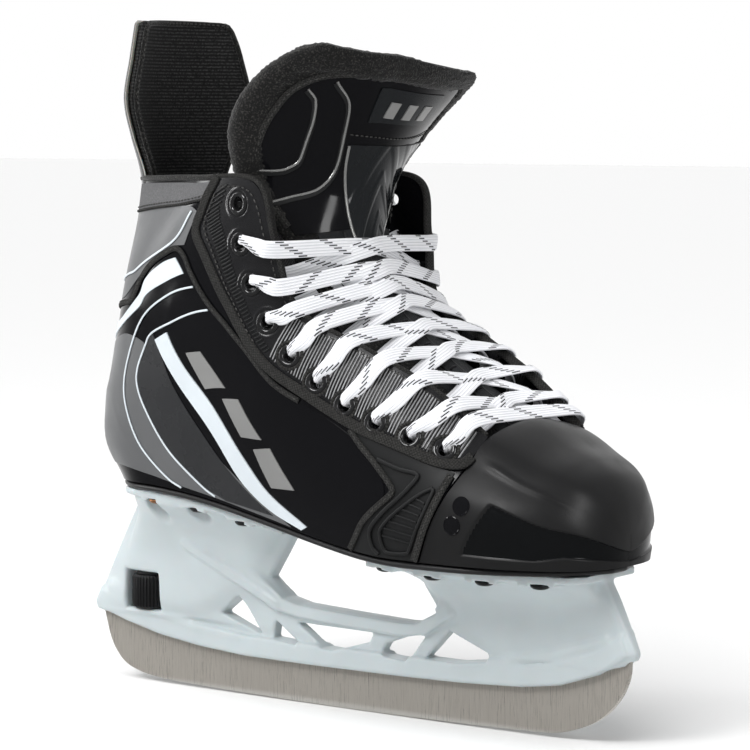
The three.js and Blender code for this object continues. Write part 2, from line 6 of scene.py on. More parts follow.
import bmesh
import bpy
import numpy as np
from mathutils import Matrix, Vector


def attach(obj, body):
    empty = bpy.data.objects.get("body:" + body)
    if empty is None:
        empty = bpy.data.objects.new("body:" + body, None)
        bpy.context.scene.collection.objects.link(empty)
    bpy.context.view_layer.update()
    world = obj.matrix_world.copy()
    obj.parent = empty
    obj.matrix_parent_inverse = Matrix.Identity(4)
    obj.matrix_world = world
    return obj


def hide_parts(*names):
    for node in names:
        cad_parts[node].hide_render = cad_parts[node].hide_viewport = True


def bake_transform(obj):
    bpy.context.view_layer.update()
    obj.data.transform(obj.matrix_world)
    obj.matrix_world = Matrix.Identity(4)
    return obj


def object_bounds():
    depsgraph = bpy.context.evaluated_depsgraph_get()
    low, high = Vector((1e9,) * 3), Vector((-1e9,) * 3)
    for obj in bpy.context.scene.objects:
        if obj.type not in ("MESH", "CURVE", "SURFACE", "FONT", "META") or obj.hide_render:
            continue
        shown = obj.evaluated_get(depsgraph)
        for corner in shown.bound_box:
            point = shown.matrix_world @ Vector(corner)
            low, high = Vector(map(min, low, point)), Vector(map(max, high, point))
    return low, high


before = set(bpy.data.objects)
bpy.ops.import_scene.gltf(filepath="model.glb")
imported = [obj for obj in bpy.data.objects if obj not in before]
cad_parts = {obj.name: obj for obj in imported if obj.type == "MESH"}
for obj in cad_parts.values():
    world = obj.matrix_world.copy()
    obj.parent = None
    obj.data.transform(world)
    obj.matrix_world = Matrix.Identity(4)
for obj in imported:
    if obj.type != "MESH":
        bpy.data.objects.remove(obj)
cad_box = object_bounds()

MM = 0.001
SIDES = (("lateral", -1), ("medial", 1))
RANDOM = np.random.default_rng(7)


# ---------------------------------------------------------------- camera, light and floor
CAMERA_AZIMUTH = math.radians(36.5)
CAMERA_DISTANCE = 1.341
CAMERA_HEIGHT = 0.26
CAMERA_PITCH = 0.0839
CAMERA_YAW = 0.0017
CAMERA_SHIFT_X = 0.0156
CAMERA_LENS = 149.9
LIGHT_TARGET = (0, 0, 0.14)
FLOOR_HALF = 12
FLOOR_GAP = 0.0002


def link(data, name):
    made = bpy.data.objects.new(name, data)
    bpy.context.scene.collection.objects.link(made)
    return made


def facing(aim):
    """Turn that points a light's or camera's -Z along a direction."""
    return Vector(aim).to_track_quat("-Z", "Y").to_euler()


def make_camera():
    camera = link(bpy.data.cameras.new("camera"), "camera")
    across = CAMERA_SHIFT_X + CAMERA_DISTANCE * math.sin(CAMERA_AZIMUTH)
    camera.location = (across, -CAMERA_DISTANCE * math.cos(CAMERA_AZIMUTH), CAMERA_HEIGHT)
    turn = CAMERA_AZIMUTH + CAMERA_YAW
    camera.rotation_euler = (math.pi / 2 - CAMERA_PITCH, 0, turn)
    camera.data.lens = CAMERA_LENS
    camera.data.clip_start = 0.02
    bpy.context.scene.camera = camera
    bpy.context.scene.view_settings.view_transform = "Standard"


def soft_light(name, place, size, power):
    light = bpy.data.lights.new(name, "AREA")
    light.shape = "RECTANGLE"
    light.size, light.size_y = size
    light.energy = power
    made = link(light, name)
    made.location = place
    made.rotation_euler = facing(np.subtract(LIGHT_TARGET, place))


def make_world():
    """Pale grey studio, with a bright backdrop behind the skate."""
    world = bpy.data.worlds.new("studio")
    bpy.context.scene.world = world
    world.use_nodes = True
    nodes, links = world.node_tree.nodes, world.node_tree.links
    place = nodes.new("ShaderNodeTexCoord")
    ahead = nodes.new("ShaderNodeVectorMath")
    ahead.operation = "DOT_PRODUCT"
    ahead.inputs[1].default_value = (-math.sin(CAMERA_AZIMUTH), math.cos(CAMERA_AZIMUTH), 0)
    links.new(place.outputs["Generated"], ahead.inputs[0])
    ramp = nodes.new("ShaderNodeMapRange")
    ramp.interpolation_type = "SMOOTHSTEP"
    ramp.inputs["From Min"].default_value = 0.2
    ramp.inputs["From Max"].default_value = 0.9
    ramp.inputs["To Min"].default_value = 0.2
    ramp.inputs["To Max"].default_value = 1.0
    links.new(ahead.outputs["Value"], ramp.inputs["Value"])
    links.new(ramp.outputs["Result"], nodes["Background"].inputs["Color"])


def sky_light(name, place, power, spread):
    """Even light from far away, its shadows softened by its spread."""
    light = bpy.data.lights.new(name, "SUN")
    light.energy = power
    light.angle = math.radians(spread)
    made = link(light, name)
    made.visible_glossy = False
    made.rotation_euler = facing(np.negative(place))


def make_studio():
    make_world()
    sky_light("sky", (-0.1, -0.45, 1.0), 2.7, 60)
    soft_light("key", (-0.25, -1.25, 1.1), (0.55, 0.4), 9)
    soft_light("toe_side", (1.3, -0.25, 0.7), (0.2, 0.7), 4)
    soft_light("heel_side", (-1.2, -0.5, 0.5), (0.12, 0.9), 4)
    floor = bpy.data.meshes.new("floor")
    corners = [(x * FLOOR_HALF, y * FLOOR_HALF, 0) for x, y in ((-1, -1), (1, -1), (1, 1), (-1, 1))]
    floor.from_pydata(corners, [], [(0, 1, 2, 3)])
    ground = link(floor, "floor")
    ground.location.z = cad_box[0][2] - FLOOR_GAP
    floor.materials.append(plain_material("floor_paint", (0.86, 0.86, 0.86), 0.75))
    ground.visible_glossy = False


# ---------------------------------------------------------------- material tools
def plain_material(name, color, roughness, **sockets):
    """A Principled material whose sockets are set directly."""
    material = bpy.data.materials.new(name)
    material.use_nodes = True
    shader = material.node_tree.nodes["Principled BSDF"]
    shader.inputs["Base Color"].default_value = (*color, 1)
    shader.inputs["Roughness"].default_value = roughness
    for socket, value in sockets.items():
        shader.inputs[socket.replace("_", " ")].default_value = value
    return material


class Nodes:
    """Short way to add nodes to one material."""

    def __init__(self, material):
        self.tree = material.node_tree
        self.shader = self.tree.nodes["Principled BSDF"]

    def add(self, kind, links=(), **values):
        node = self.tree.nodes.new("ShaderNode" + kind)
        for key, value in values.items():
            if hasattr(node, key):
                setattr(node, key, value)
            else:
                node.inputs[key.replace("_", " ")].default_value = value
        for socket, source in links:
            self.tree.links.new(source, node.inputs[socket])
        return node

    def place(self, scale=(1, 1, 1), weave=False):
        """Coordinates in millimetres: the frame's, or the piece's own along its cloth."""
        source = self.add("UVMap", uv_map="weave") if weave else self.add("TexCoord")
        out = source.outputs["UV" if weave else "Object"]
        unit = 1 if weave else 1 / MM
        mapping = self.add("Mapping", [("Vector", out)])
        mapping.inputs["Scale"].default_value = [unit * s for s in scale]
        return mapping.outputs["Vector"]

    def noise(self, scale, detail=2.0, vector=None):
        source = self.place() if vector is None else vector
        return self.add("TexNoise", [("Vector", source)], Scale=scale, Detail=detail).outputs["Fac"]

    def math(self, operation, a, b=0.0):
        node = self.add("Math", operation=operation)
        for socket, value in zip(node.inputs, (a, b)):
            if isinstance(value, (int, float)):
                socket.default_value = value
            else:
                self.tree.links.new(value, socket)
        return node.outputs[0]

    def ramp(self, value, low, high, to_low=0.0, to_high=1.0):
        node = self.add("MapRange", [("Value", value)], interpolation_type="SMOOTHSTEP")
        for socket, number in zip(("From Min", "From Max", "To Min", "To Max"),
                                  (low, high, to_low, to_high)):
            node.inputs[socket].default_value = number
        return node.outputs["Result"]

    def mix(self, factor, a, b):
        node = self.add("Mix", [("Factor", factor)], data_type="RGBA")
        for socket, value in ((node.inputs[6], a), (node.inputs[7], b)):
            if isinstance(value, tuple):
                socket.default_value = (*value, 1)
            else:
                self.tree.links.new(value, socket)
        return node.outputs[2]

    def color(self, source):
        self.tree.links.new(source, self.shader.inputs["Base Color"])

    def roughness(self, source):
        self.tree.links.new(source, self.shader.inputs["Roughness"])

    def bump(self, height, distance):
        before = self.shader.inputs["Normal"]
        node = self.add("Bump", [("Height", height)], Distance=distance * MM, Strength=1.0)
        if before.is_linked:
            self.tree.links.new(before.links[0].from_socket, node.inputs["Normal"])
        self.tree.links.new(node.outputs["Normal"], before)


def speckled(name, dark, light, roughness, scale, share=(0.45, 0.75), bump=0.0, **sockets):
    """A finish whose colour wanders between two tones, with a fine grain."""
    material = plain_material(name, dark, roughness, **sockets)
    n = Nodes(material)
    grain = n.noise(scale, 3.0)
    n.color(n.mix(n.ramp(grain, *share), dark, light))
    if bump:
        n.bump(grain, bump)
    return material


def coated(name, color, roughness, wander=0.06, grain=0.0, grain_scale=0.9, **sockets):
    """Lacquered or moulded finish: gloss that wanders a little, with optional moulded grain."""
    material = plain_material(name, color, roughness, **sockets)
    n = Nodes(material)
    n.roughness(n.ramp(n.noise(0.07, 4.0), 0.3, 0.7, max(roughness - wander, 0.03), roughness + wander))
    darker = tuple(0.82 * c for c in color)
    n.color(n.mix(n.noise(0.04, 2.0), darker, color))
    if grain:
        n.bump(n.noise(grain_scale, 2.0), grain)
    return material


def cloth(name, dark, light, pitch, bump, roughness=0.9, **sockets):
    """Woven tape or cloth with threads both ways at the given pitch."""
    material = plain_material(name, dark, roughness, **sockets)
    n = Nodes(material)
    where = n.place((1 / pitch, 1 / pitch, 1), weave=True)
    checker = n.add("TexChecker", [("Vector", where)], Scale=1.0)
    waves = n.add("TexWave", [("Vector", where)], Scale=1.0, Distortion=0.6, bands_direction="DIAGONAL")
    grain = n.noise(1.4, 3.0)
    height = n.math("ADD", n.math("MULTIPLY", checker.outputs["Fac"], 0.5), waves.outputs["Fac"])
    n.color(n.mix(n.ramp(n.math("MULTIPLY", height, grain), 0.2, 0.9), dark, light))
    n.bump(height, bump)
    return material


def ribbed(name, dark, light, pitch, axis, bump, roughness=0.7, **sockets):
    """Rows at the given pitch along one direction of the cloth, as knit or fluted plastic."""
    material = plain_material(name, dark, roughness, **sockets)
    n = Nodes(material)
    scale = [0.0, 0.0, 0.0]
    scale[axis] = 1 / pitch
    split = n.add("SeparateXYZ", [("Vector", n.place(tuple(scale), weave=True))])
    row = n.math("PINGPONG", split.outputs[axis], 0.5)
    flecks = n.noise(1.1, 3.0)
    tone = n.math("MULTIPLY", n.ramp(row, 0.05, 0.45), n.ramp(flecks, 0.3, 0.7))
    n.color(n.mix(tone, dark, light))
    n.bump(n.math("ADD", row, n.math("MULTIPLY", flecks, 0.6)), bump)
    return material


# ---------------------------------------------------------------- mesh tools
def quads(index, flip=False):
    """Faces between neighbouring entries of a 2-D array of vertex numbers."""
    a, b, c, d = index[:-1, :-1], index[1:, :-1], index[1:, 1:], index[:-1, 1:]
    ring = (d, c, b, a) if flip else (a, b, c, d)
    return np.stack([r.ravel() for r in ring], 1)


def set_weave(mesh, weave):
    """Writes one cloth coordinate for each point."""
    corner = np.zeros(len(mesh.loops), int)
    mesh.loops.foreach_get("vertex_index", corner)
    mesh.uv_layers["weave"].data.foreach_set("uv", weave[corner].ravel())


SHARP = 38


def add_mesh(name, points, faces, material, weave=None, sharp=SHARP):
    """A smooth-shaded object from points in millimetres, its faces turned outwards."""
    mesh = bpy.data.meshes.new(name)
    mesh.from_pydata((np.asarray(points) * MM).tolist(), [], [list(map(int, f)) for f in faces])
    work = bmesh.new()
    work.from_mesh(mesh)
    bmesh.ops.recalc_face_normals(work, faces=work.faces)
    work.to_mesh(mesh)
    work.free()
    if weave is not None:
        mesh.uv_layers.new(name="weave")
        set_weave(mesh, np.asarray(weave, float))
    mesh.shade_smooth()
    mesh.set_sharp_from_angle(angle=math.radians(sharp))
    mesh.materials.append(material)
    return link(mesh, name)


def keep(piece, body, slot, *nodes):
    """Gives a finished piece its body and hides the CAD nodes that it stands for; slot is not used."""
    if body is not None:
        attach(piece, body)
    if nodes:
        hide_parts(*nodes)
    return piece


def normalized(v):
    return v / np.maximum(np.linalg.norm(v, axis=-1, keepdims=True), 1e-9)


def lengths(points):
    """Running length along a line of points."""
    steps = np.linalg.norm(np.diff(points, axis=0), axis=1)
    return np.concatenate([[0], np.cumsum(steps)])


def shell(outer, inner):
    """Closed solid between two grids of points."""
    count = outer.shape[0] * outer.shape[1]
    index = np.arange(count).reshape(outer.shape[:2])
    rim = np.concatenate([index[:, 0], index[-1, 1:], index[-2::-1, -1], index[0, -2::-1]])
    sides = np.stack([rim, rim + count])
    faces = np.concatenate([quads(index), quads(index + count, True), quads(sides)])
    return np.concatenate([outer.reshape(-1, 3), inner.reshape(-1, 3)]), faces


def grid_weave(outer):
    """Cloth coordinates of a grid, in millimetres along both ways of its outer face."""
    middle = outer.shape[1] // 2
    along = lengths(outer[:, middle])
    across = np.array([lengths(row) for row in outer])
    across -= across[:, middle:middle + 1]
    one = np.stack([np.broadcast_to(along[:, None], across.shape), across], -1).reshape(-1, 2)
    return np.concatenate([one, one])


def loft(rings):
    """Closed skin through rings of points, capped at both ends."""
    count, around = rings.shape[:2]
    index = np.arange(count * around).reshape(count, around)
    faces = quads(np.concatenate([index, index[:, :1]], 1)).tolist()
    faces += [index[0].tolist(), index[-1][::-1].tolist()]
    return rings.reshape(-1, 3), faces


def ring_weave(rings):
    along = lengths(rings.mean(1))
    around = np.array([lengths(r) for r in rings])
    return np.stack([np.broadcast_to(along[:, None], around.shape), around], -1).reshape(-1, 2)


def sweep(path, normal, section):
    """Rings of a section carried along a path. section is (m, 2) or (n, m, 2): across, up."""
    tangent = normalized(np.gradient(path, axis=0))
    across = normalized(np.cross(tangent, normal))
    up = np.cross(across, tangent)
    shape = np.broadcast_to(section, (len(path), *np.shape(section)[-2:]))
    return (path[:, None] + shape[..., :1] * across[:, None] + shape[..., 1:] * up[:, None])


def turned(profile, sides=48):
    """Rings of a turned piece about +Z from its closed profile of radius and height."""
    profile = np.asarray(profile, float)
    angle = np.linspace(0, 2 * math.pi, sides, endpoint=False)
    rings = np.stack([profile[None, :, 0] * np.cos(angle)[:, None],
                      profile[None, :, 0] * np.sin(angle)[:, None],
                      np.broadcast_to(profile[None, :, 1], (sides, len(profile)))], -1)
    index = np.arange(sides * len(profile)).reshape(sides, -1)
    index = np.vstack([index, index[:1]])
    index = np.hstack([index, index[:, :1]])
    return rings.reshape(-1, 3), quads(index)


def rounded(width, height, corner=1.0, per_corner=5):
    """Closed section of a rounded rectangle, centred on its own middle."""
    corner = min(corner, width / 2, height / 2)
    angle = np.linspace(0, math.pi / 2, per_corner)
    loop = []
    for k, (sx, sy) in enumerate(((1, 1), (-1, 1), (-1, -1), (1, -1))):
        cx, cy = sx * (width / 2 - corner), sy * (height / 2 - corner)
        for t in angle + k * math.pi / 2:
            loop.append((cx + corner * math.cos(t), cy + corner * math.sin(t)))
    return np.array(loop)


def merged(parts):
    """Several (points, faces) as one."""
    points, faces, at = [], [], 0
    for some, polygons in parts:
        points.append(some)
        faces += [[int(i) + at for i in f] for f in polygons]
        at += len(some)
    return np.concatenate(points), faces


STITCH_RADIUS, STITCH_LIFT = 0.32, 0.1
STITCH_FORM = [(-0.5, 0.25), (-0.36, 0.9), (0, 1), (0.36, 0.9), (0.5, 0.25)]


def stitches(path, normal, pitch, length):
    """A row of thread stitches along a path, each a small pointed roll."""
    run = lengths(path)
    parts = []
    turn = np.linspace(0, 2 * math.pi, 6, endpoint=False)
    for start in np.arange(pitch / 2, run[-1] - length, pitch):
        middle, after, up = (np.array([np.interp(at, run, rows[:, k]) for k in range(3)])
                             for at, rows in ((start, path), (start + 0.5, path), (start, normal)))
        tangent = normalized(after - middle)
        across = normalized(np.cross(tangent, up))
        up = np.cross(across, tangent)
        ring = np.array([[middle + tangent * (length * a) + STITCH_RADIUS * b * (
            np.cos(t) * across + np.sin(t) * up) + up * STITCH_LIFT for t in turn]
            for a, b in STITCH_FORM])
        parts.append(loft(ring))
    return merged(parts)


def cut(piece, cutters):
    """Cuts closed shapes, given as (points, faces), out of a piece."""
    tool = add_mesh("cutter", *merged(cutters), piece.data.materials[0])
    change = piece.modifiers.new("cut", "BOOLEAN")
    change.operation = "DIFFERENCE"
    change.solver = "MANIFOLD"
    change.object = tool
    bpy.context.view_layer.update()
    evaluated = piece.evaluated_get(bpy.context.evaluated_depsgraph_get())
    mesh = bpy.data.meshes.new_from_object(evaluated)
    piece.modifiers.clear()
    piece.data = mesh
    mesh.set_sharp_from_angle(angle=math.radians(SHARP))
    bpy.data.objects.remove(tool)


# ---------------------------------------------------------------- curves
def smooth(low, high, x):
    t = np.clip((np.asarray(x, float) - low) / (high - low), 0, 1)
    return t * t * (3 - 2 * t)


def lerp(a, b, t):
    return a + (b - a) * t


def spline(rows, t):
    """Catmull-Rom through rows at t, with straight run-outs at both ends."""
    rows = np.asarray(rows, float)
    flat = rows.ndim == 1
    rows = rows[:, None] if flat else rows
    padded = np.concatenate([[2 * rows[0] - rows[1]], rows, [2 * rows[-1] - rows[-2]]])
    t = np.asarray(t, float)
    i = np.clip(np.floor(t).astype(int), 0, len(rows) - 2)
    f = (t - i)[..., None]
    f = f.reshape(f.shape + (1,) * (rows.ndim - 2)) if rows.ndim > 2 else f
    a, b, c, d = (padded[i + k] for k in range(4))
    out = 0.5 * (2 * b + (c - a) * f + (2 * a - 5 * b + 4 * c - d) * f ** 2
                 + (3 * b - a - 3 * c + d) * f ** 3)
    return out[..., 0] if flat else out


def line(points, count):
    """A smooth line of count points through a few given ones."""
    return spline(points, np.linspace(0, len(points) - 1, count))


# ---------------------------------------------------------------- boot surface
SOLE_HEEL_Z, SOLE_TOE_Z = 92, 72
PITCH_FROM, PITCH_TO = -95, 60
SOLE_T, SHELL_T, PAD_T, PAD_GAP, GAP = 3, 3, 5, 1.4, 0.3
MEDIAL_LEAD = 11

# Ribs of one side, front to heel: sole edge, low, mid, high and top edge as x, half breadth, z.
RIBS = [
    [[68, 44], [75, 46.5, 91], [82, 45, 104], [88, 38, 115.5], [91, 27, 127]],
    [[44, 43.5], [49, 47, 94], [55, 47, 110], [61, 43, 127], [66, 31, 146]],
    [[15, 39.5], [19, 45, 98], [24, 48, 118], [29, 46, 141], [35, 37, 162]],
    [[-17, 36], [-16, 42, 105], [-12, 47.5, 129], [-6, 50, 155], [4, 43.5, 178]],
    [[-50, 33.5], [-48, 39, 112], [-43, 44.5, 142], [-32, 49.5, 175], [-4, 48.5, 206]],
    [[-80, 31.5], [-80, 36, 115], [-75, 40.5, 148], [-58, 46, 192], [-12, 50, 231]],
    [[-104, 26.5], [-107, 31.5, 117], [-102, 34.5, 152], [-86, 39, 199], [-50, 43, 232]],
    [[-118, 15], [-126, 18.5, 116], [-119, 19.5, 152], [-106, 22, 199], [-91, 28, 231]],
    [[-123, 0], [-132, 0, 116], [-125, 0, 152], [-116, 0, 199], [-112, 0, 230.5]],
]
LEAD = [1, 1, 1, 1, 1, 1, 0.55, 0.1, 0]
HEEL_U, TOP_V = 8, 4


def sole_z(x):
    return SOLE_HEEL_Z + (SOLE_TOE_Z - SOLE_HEEL_Z) * smooth(PITCH_FROM, PITCH_TO, x)


def rib_table():
    full = [[p if len(p) == 3 else [*p, sole_z(p[0]) + SOLE_T + GAP] for p in rib] for rib in RIBS]
    return np.array(full, float)


RIB_TABLE = rib_table()


def boot(side, u, v):
    """Point of the boot's outer face: u over the ribs, v from the sole to the top edge."""
    u, v = np.broadcast_arrays(np.asarray(u, float), np.asarray(v, float))
    table = RIB_TABLE.copy()
    if side > 0:
        table[:, :, 0] += MEDIAL_LEAD * np.array(LEAD)[:, None]
    low, high = 2 * table[:, :1] - table[:, 1:2], 2 * table[:, -1:] - table[:, -2:-1]
    table = np.concatenate([low, table, high], 1)
    past = table[-2:-1] * [1, -1, 1]
    table = np.concatenate([2 * table[:1] - table[1:2], table, past], 0)
    iu = np.clip(np.floor(u).astype(int), 0, HEEL_U - 1)
    iv = np.clip(np.floor(v).astype(int), 0, TOP_V - 1)
    fu, fv = (u - iu)[..., None], (v - iv)[..., None]

    def blend(p, f):
        a, b, c, d = p
        return 0.5 * (2 * b + (c - a) * f + (2 * a - 5 * b + 4 * c - d) * f ** 2
                      + (3 * b - a - 3 * c + d) * f ** 3)

    columns = [blend([table[iu + k, iv + j] for j in range(4)], fv) for k in range(4)]
    point = blend(columns, fu)
    point[..., 1] *= side
    return point


def boot_normal(side, u, v):
    e = 0.02
    du = boot(side, np.minimum(u + e, HEEL_U), v) - boot(side, np.maximum(u - e, 0), v)
    dv = boot(side, u, np.minimum(v + e, TOP_V)) - boot(side, u, np.maximum(v - e, 0))
    return normalized(np.cross(dv, du) if side < 0 else np.cross(du, dv))


def heel_relief(u, v):
    """Heel counter's ridge and the swelling over the ankle bone, in millimetres."""
    ridge = np.exp(-((v - lerp(0.9, 1.55, smooth(5.4, 6.4, u))) / 0.13) ** 2) * smooth(5.2, 6.2, u)
    bulge = np.exp(-((u - 4.6) / 0.7) ** 2 - ((v - 2.2) / 0.7) ** 2)
    return 0.6 * ridge + 0.5 * bulge


def boot_at(side, u, v, depth):
    u, v = np.broadcast_arrays(np.asarray(u, float), np.asarray(v, float))
    depth = np.asarray(depth, float) - heel_relief(u, v)
    return boot(side, u, v) - boot_normal(side, u, v) * depth[..., None]


def on_boot(side, places, count, depth=0.0):
    """A smooth line over the boot through a few (u, v) places: points and normals."""
    uv = line(places, count)
    return boot_at(side, uv[:, 0], uv[:, 1], depth), boot_normal(side, uv[:, 0], uv[:, 1])


def boot_wall(name, side, us, v_low, v_high, rows, depths, material, relief=None):
    """Wall over a patch of the boot; relief(u, v) raises the outer face in millimetres."""
    j = np.linspace(0, 1, rows)
    u = np.broadcast_to(us[:, None], (len(us), rows))
    v = lerp(v_low(us)[:, None], v_high(us)[:, None], j[None])
    rise = 0 if relief is None else relief(u, v)
    outer, inner = boot_at(side, u, v, depths[0] - rise), boot_at(side, u, v, depths[1] + 0 * u)
    return add_mesh(name, *shell(outer, inner), material, grid_weave(outer))


def strip(name, side, places, width, height, material, depth=0.0, count=120, corner=0.5):
    """A raised band or bead over the boot through a few (u, v) places."""
    path, normal = on_boot(side, places, count, depth - height / 2 + 0.15)
    rings = sweep(path, normal, rounded(width, height, corner))
    return add_mesh(name, *loft(rings), material, ring_weave(rings))


def area(name, side, left, right, material, lift=0.12, count=90, across=14):
    """A thin coloured area over the boot between two smooth edges given in (u, v)."""
    a, b = line(left, count), line(right, count)
    t = np.linspace(0, 1, across)[None, :, None]
    uv = lerp(a[:, None], b[:, None], t)
    outer = boot_at(side, uv[..., 0], uv[..., 1], -lift + 0 * uv[..., 0])
    inner = boot_at(side, uv[..., 0], uv[..., 1], 0.3 + 0 * uv[..., 0])
    return add_mesh(name, *shell(outer, inner), material, grid_weave(outer))


def sewn(name, side, places, depth, material, count=160, pitch=2.6, length=1.7):
    path, normal = on_boot(side, places, count, depth)
    return add_mesh(name, *stitches(path, normal, pitch, length), material)


# ---------------------------------------------------------------- finishes
make_camera()
make_studio()

GLOSS = coated("gloss_lacquer", (0.005, 0.005, 0.006), 0.1, 0.04, Specular_IOR_Level=0.22)
SATIN = coated("satin_moulding", (0.013, 0.0135, 0.014), 0.46, 0.06, 0.05, 1.6, Specular_IOR_Level=0.35)
CAP_SATIN = coated("cap_moulding", (0.012, 0.012, 0.0125), 0.4, 0.05, 0.04, 2.2, Specular_IOR_Level=0.35)
RECESS = coated("cap_recess", (0.004, 0.0045, 0.005), 0.16, 0.05, 0.01, 2.0, Specular_IOR_Level=0.25)
GREY_PRINT = coated("grey_print", (0.125, 0.128, 0.132), 0.34, 0.05, Specular_IOR_Level=0.35)
DARK_PRINT = coated("dark_grey_print", (0.03, 0.031, 0.033), 0.28, 0.05, Specular_IOR_Level=0.35)
ICE_PRINT = coated("ice_print", (0.69, 0.75, 0.79), 0.34, 0.05)
SILVER_PRINT = coated("silver_print", (0.33, 0.33, 0.325), 0.34, 0.05, Metallic=0.35)
PIPING = coated("silver_piping", (0.55, 0.55, 0.54), 0.22, 0.04, Metallic=0.8)
FELT = speckled("felt", (0.004, 0.004, 0.004), (0.045, 0.043, 0.039), 0.95, 1.3, (0.5, 0.72), 0.5,
                Sheen_Weight=0.25, Sheen_Roughness=0.4)
KNIT = ribbed("guard_knit", (0.004, 0.0042, 0.0045), (0.06, 0.06, 0.06), 1.5, 0, 0.25, 0.9)
LINER = ribbed("liner_knit", (0.008, 0.008, 0.0085), (0.05, 0.05, 0.052), 1.2, 0, 0.2, 0.9)
COLLAR = speckled("collar_microfibre", (0.1, 0.1, 0.103), (0.15, 0.15, 0.154), 0.85, 1.5,
                  (0.3, 0.8), 0.06, Specular_IOR_Level=0.2)
TAPE = cloth("binding_tape", (0.006, 0.006, 0.006), (0.085, 0.083, 0.078), 0.75, 0.22)
THREAD = speckled("thread", (0.012, 0.012, 0.012), (0.09, 0.088, 0.083), 0.7, 2.4, (0.35, 0.7), 0.05)
SMOKE = coated("smoke_window", (0.012, 0.0135, 0.015), 0.13, 0.05, Specular_IOR_Level=0.35)
MESH_CLOTH = cloth("tongue_cloth", (0.008, 0.009, 0.01), (0.035, 0.038, 0.042), 0.6, 0.12, 0.75)
GUARD_PLASTIC = coated("guard_plastic", (0.42, 0.4, 0.37), 0.35, 0.06, 0.02, 1.0, Subsurface_Weight=0.1)
HOLDER_PLASTIC = coated("holder_plastic", (0.54, 0.6, 0.618), 0.36, 0.05, 0.015, 0.6,
                        Subsurface_Weight=0.1, Subsurface_Scale=0.003)
EYELET_BLACK = coated("eyelet_black", (0.02, 0.02, 0.021), 0.2, 0.05, Metallic=0.5, Coat_Weight=0.8)
RIVET_BLACK = coated("rivet_black", (0.03, 0.03, 0.031), 0.35, 0.08, 0.02, 3.0, Metallic=0.6)
COPPER = coated("rivet_copper", (0.58, 0.27, 0.12), 0.32, 0.08, 0.02, 3.0, Metallic=1.0)
DIAL_BLACK = coated("dial_black", (0.012, 0.012, 0.013), 0.5, 0.05, 0.04, 2.4)
BLACK_METAL = coated("black_metal", (0.06, 0.06, 0.062), 0.35, 0.08, 0.02, 2.0, Metallic=0.8)
BOARD = speckled("insole_board", (0.1, 0.09, 0.075), (0.2, 0.18, 0.15), 0.85, 0.8, (0.3, 0.7), 0.05)
FOOTBED = cloth("footbed_cloth", (0.03, 0.031, 0.034), (0.09, 0.092, 0.1), 0.9, 0.1)
SOLE = coated("sole_composite", (0.02, 0.02, 0.021), 0.4, 0.06, 0.05, 1.2)


def steel_finish():
    """Ground steel: fine grain across the blade and a brighter polished edge."""
    material = plain_material("ground_steel", (0.62, 0.585, 0.53), 0.34, Metallic=0.55)
    n = Nodes(material)
    grain = n.noise(1.0, 4.0, n.place((6.0, 1.0, 0.12)))
    bands = n.noise(1.0, 2.0, n.place((0.05, 0.05, 0.02)))
    height = n.add("SeparateXYZ", [("Vector", n.place())]).outputs["Z"]
    edge = n.ramp(height, 1.2, 3.4)
    tone = n.mix(n.ramp(grain, 0.25, 0.75), (0.44, 0.41, 0.37), (0.55, 0.52, 0.47))
    n.color(n.mix(edge, (0.66, 0.64, 0.6), tone))
    n.roughness(n.math("ADD", n.ramp(grain, 0.2, 0.8, 0.2, 0.34), n.math("MULTIPLY", bands, 0.1)))
    n.bump(grain, 0.03)
    return material


def lace_finish():
    """White flat braid: ribs along it with painted shade in the grooves between them, and slanted rows of black
    dashes.
    """
    material = plain_material("lace_braid", (0.86, 0.87, 0.89), 0.85, Sheen_Weight=0.2)
    n = Nodes(material)
    split = n.add("SeparateXYZ", [("Vector", n.place(weave=True))])
    along, across = split.outputs["X"], split.outputs["Y"]
    rib = n.math("PINGPONG", n.math("MULTIPLY", across, 0.78), 0.5)
    chevron = n.math("PINGPONG", n.math("ADD", n.math("MULTIPLY", along, 0.9), across), 0.5)
    row = n.math("FLOOR", n.math("MULTIPLY", across, 0.78))
    shifted = n.math("SUBTRACT", along, n.math("MULTIPLY", row, 2.2))
    repeat = n.math("FLOORED_MODULO", shifted, 23.0)
    dash = n.math("MULTIPLY", n.math("LESS_THAN", repeat, 4.3), n.math("GREATER_THAN", rib, 0.27))
    soil = n.mix(n.noise(0.12, 3.0), (0.8, 0.81, 0.85), (0.9, 0.905, 0.92))
    # Painted shade: the grooves between the ribs are darkened to grey, and the rib crowns keep the braid's soiled
    # white.
    groove_shade = n.mix(n.ramp(rib, 0.0, 0.2), (0.55, 0.56, 0.6), soil)
    n.color(n.mix(dash, groove_shade, (0.03, 0.03, 0.033)))
    n.bump(n.math("ADD", rib, n.math("MULTIPLY", chevron, 0.35)), 0.35)
    return material


def flutes_finish():
    """Black facing with painted highlights on its ridge tops, broken into patches by noise; the cloth X coordinate
    counts the ridges.
    """
    material = plain_material("facing_flutes", (0.01, 0.01, 0.011), 0.3)
    n = Nodes(material)
    split = n.add("SeparateXYZ", [("Vector", n.place(weave=True))])
    ridge = n.math("PINGPONG", split.outputs["X"], 0.5)
    # Painted highlight: the ridge tops over the fluted area are coloured light grey, and noise then makes this
    # highlight patchy.
    tone = n.math("MULTIPLY", n.ramp(ridge, 0.24, 0.44), n.ramp(split.outputs["Y"], 0.5, 0.9))
    patchy_ridge_highlight = n.math("MULTIPLY", tone, n.ramp(n.noise(1.6, 3.0), 0.2, 0.6, 0.55, 1.0))
    n.color(n.mix(patchy_ridge_highlight, (0.01, 0.01, 0.011), (0.4, 0.4, 0.41)))
    n.roughness(n.ramp(tone, 0.0, 1.0, 0.2, 0.55))
    return material


FLUTES = flutes_finish()
STEEL = steel_finish()
LACE = lace_finish()


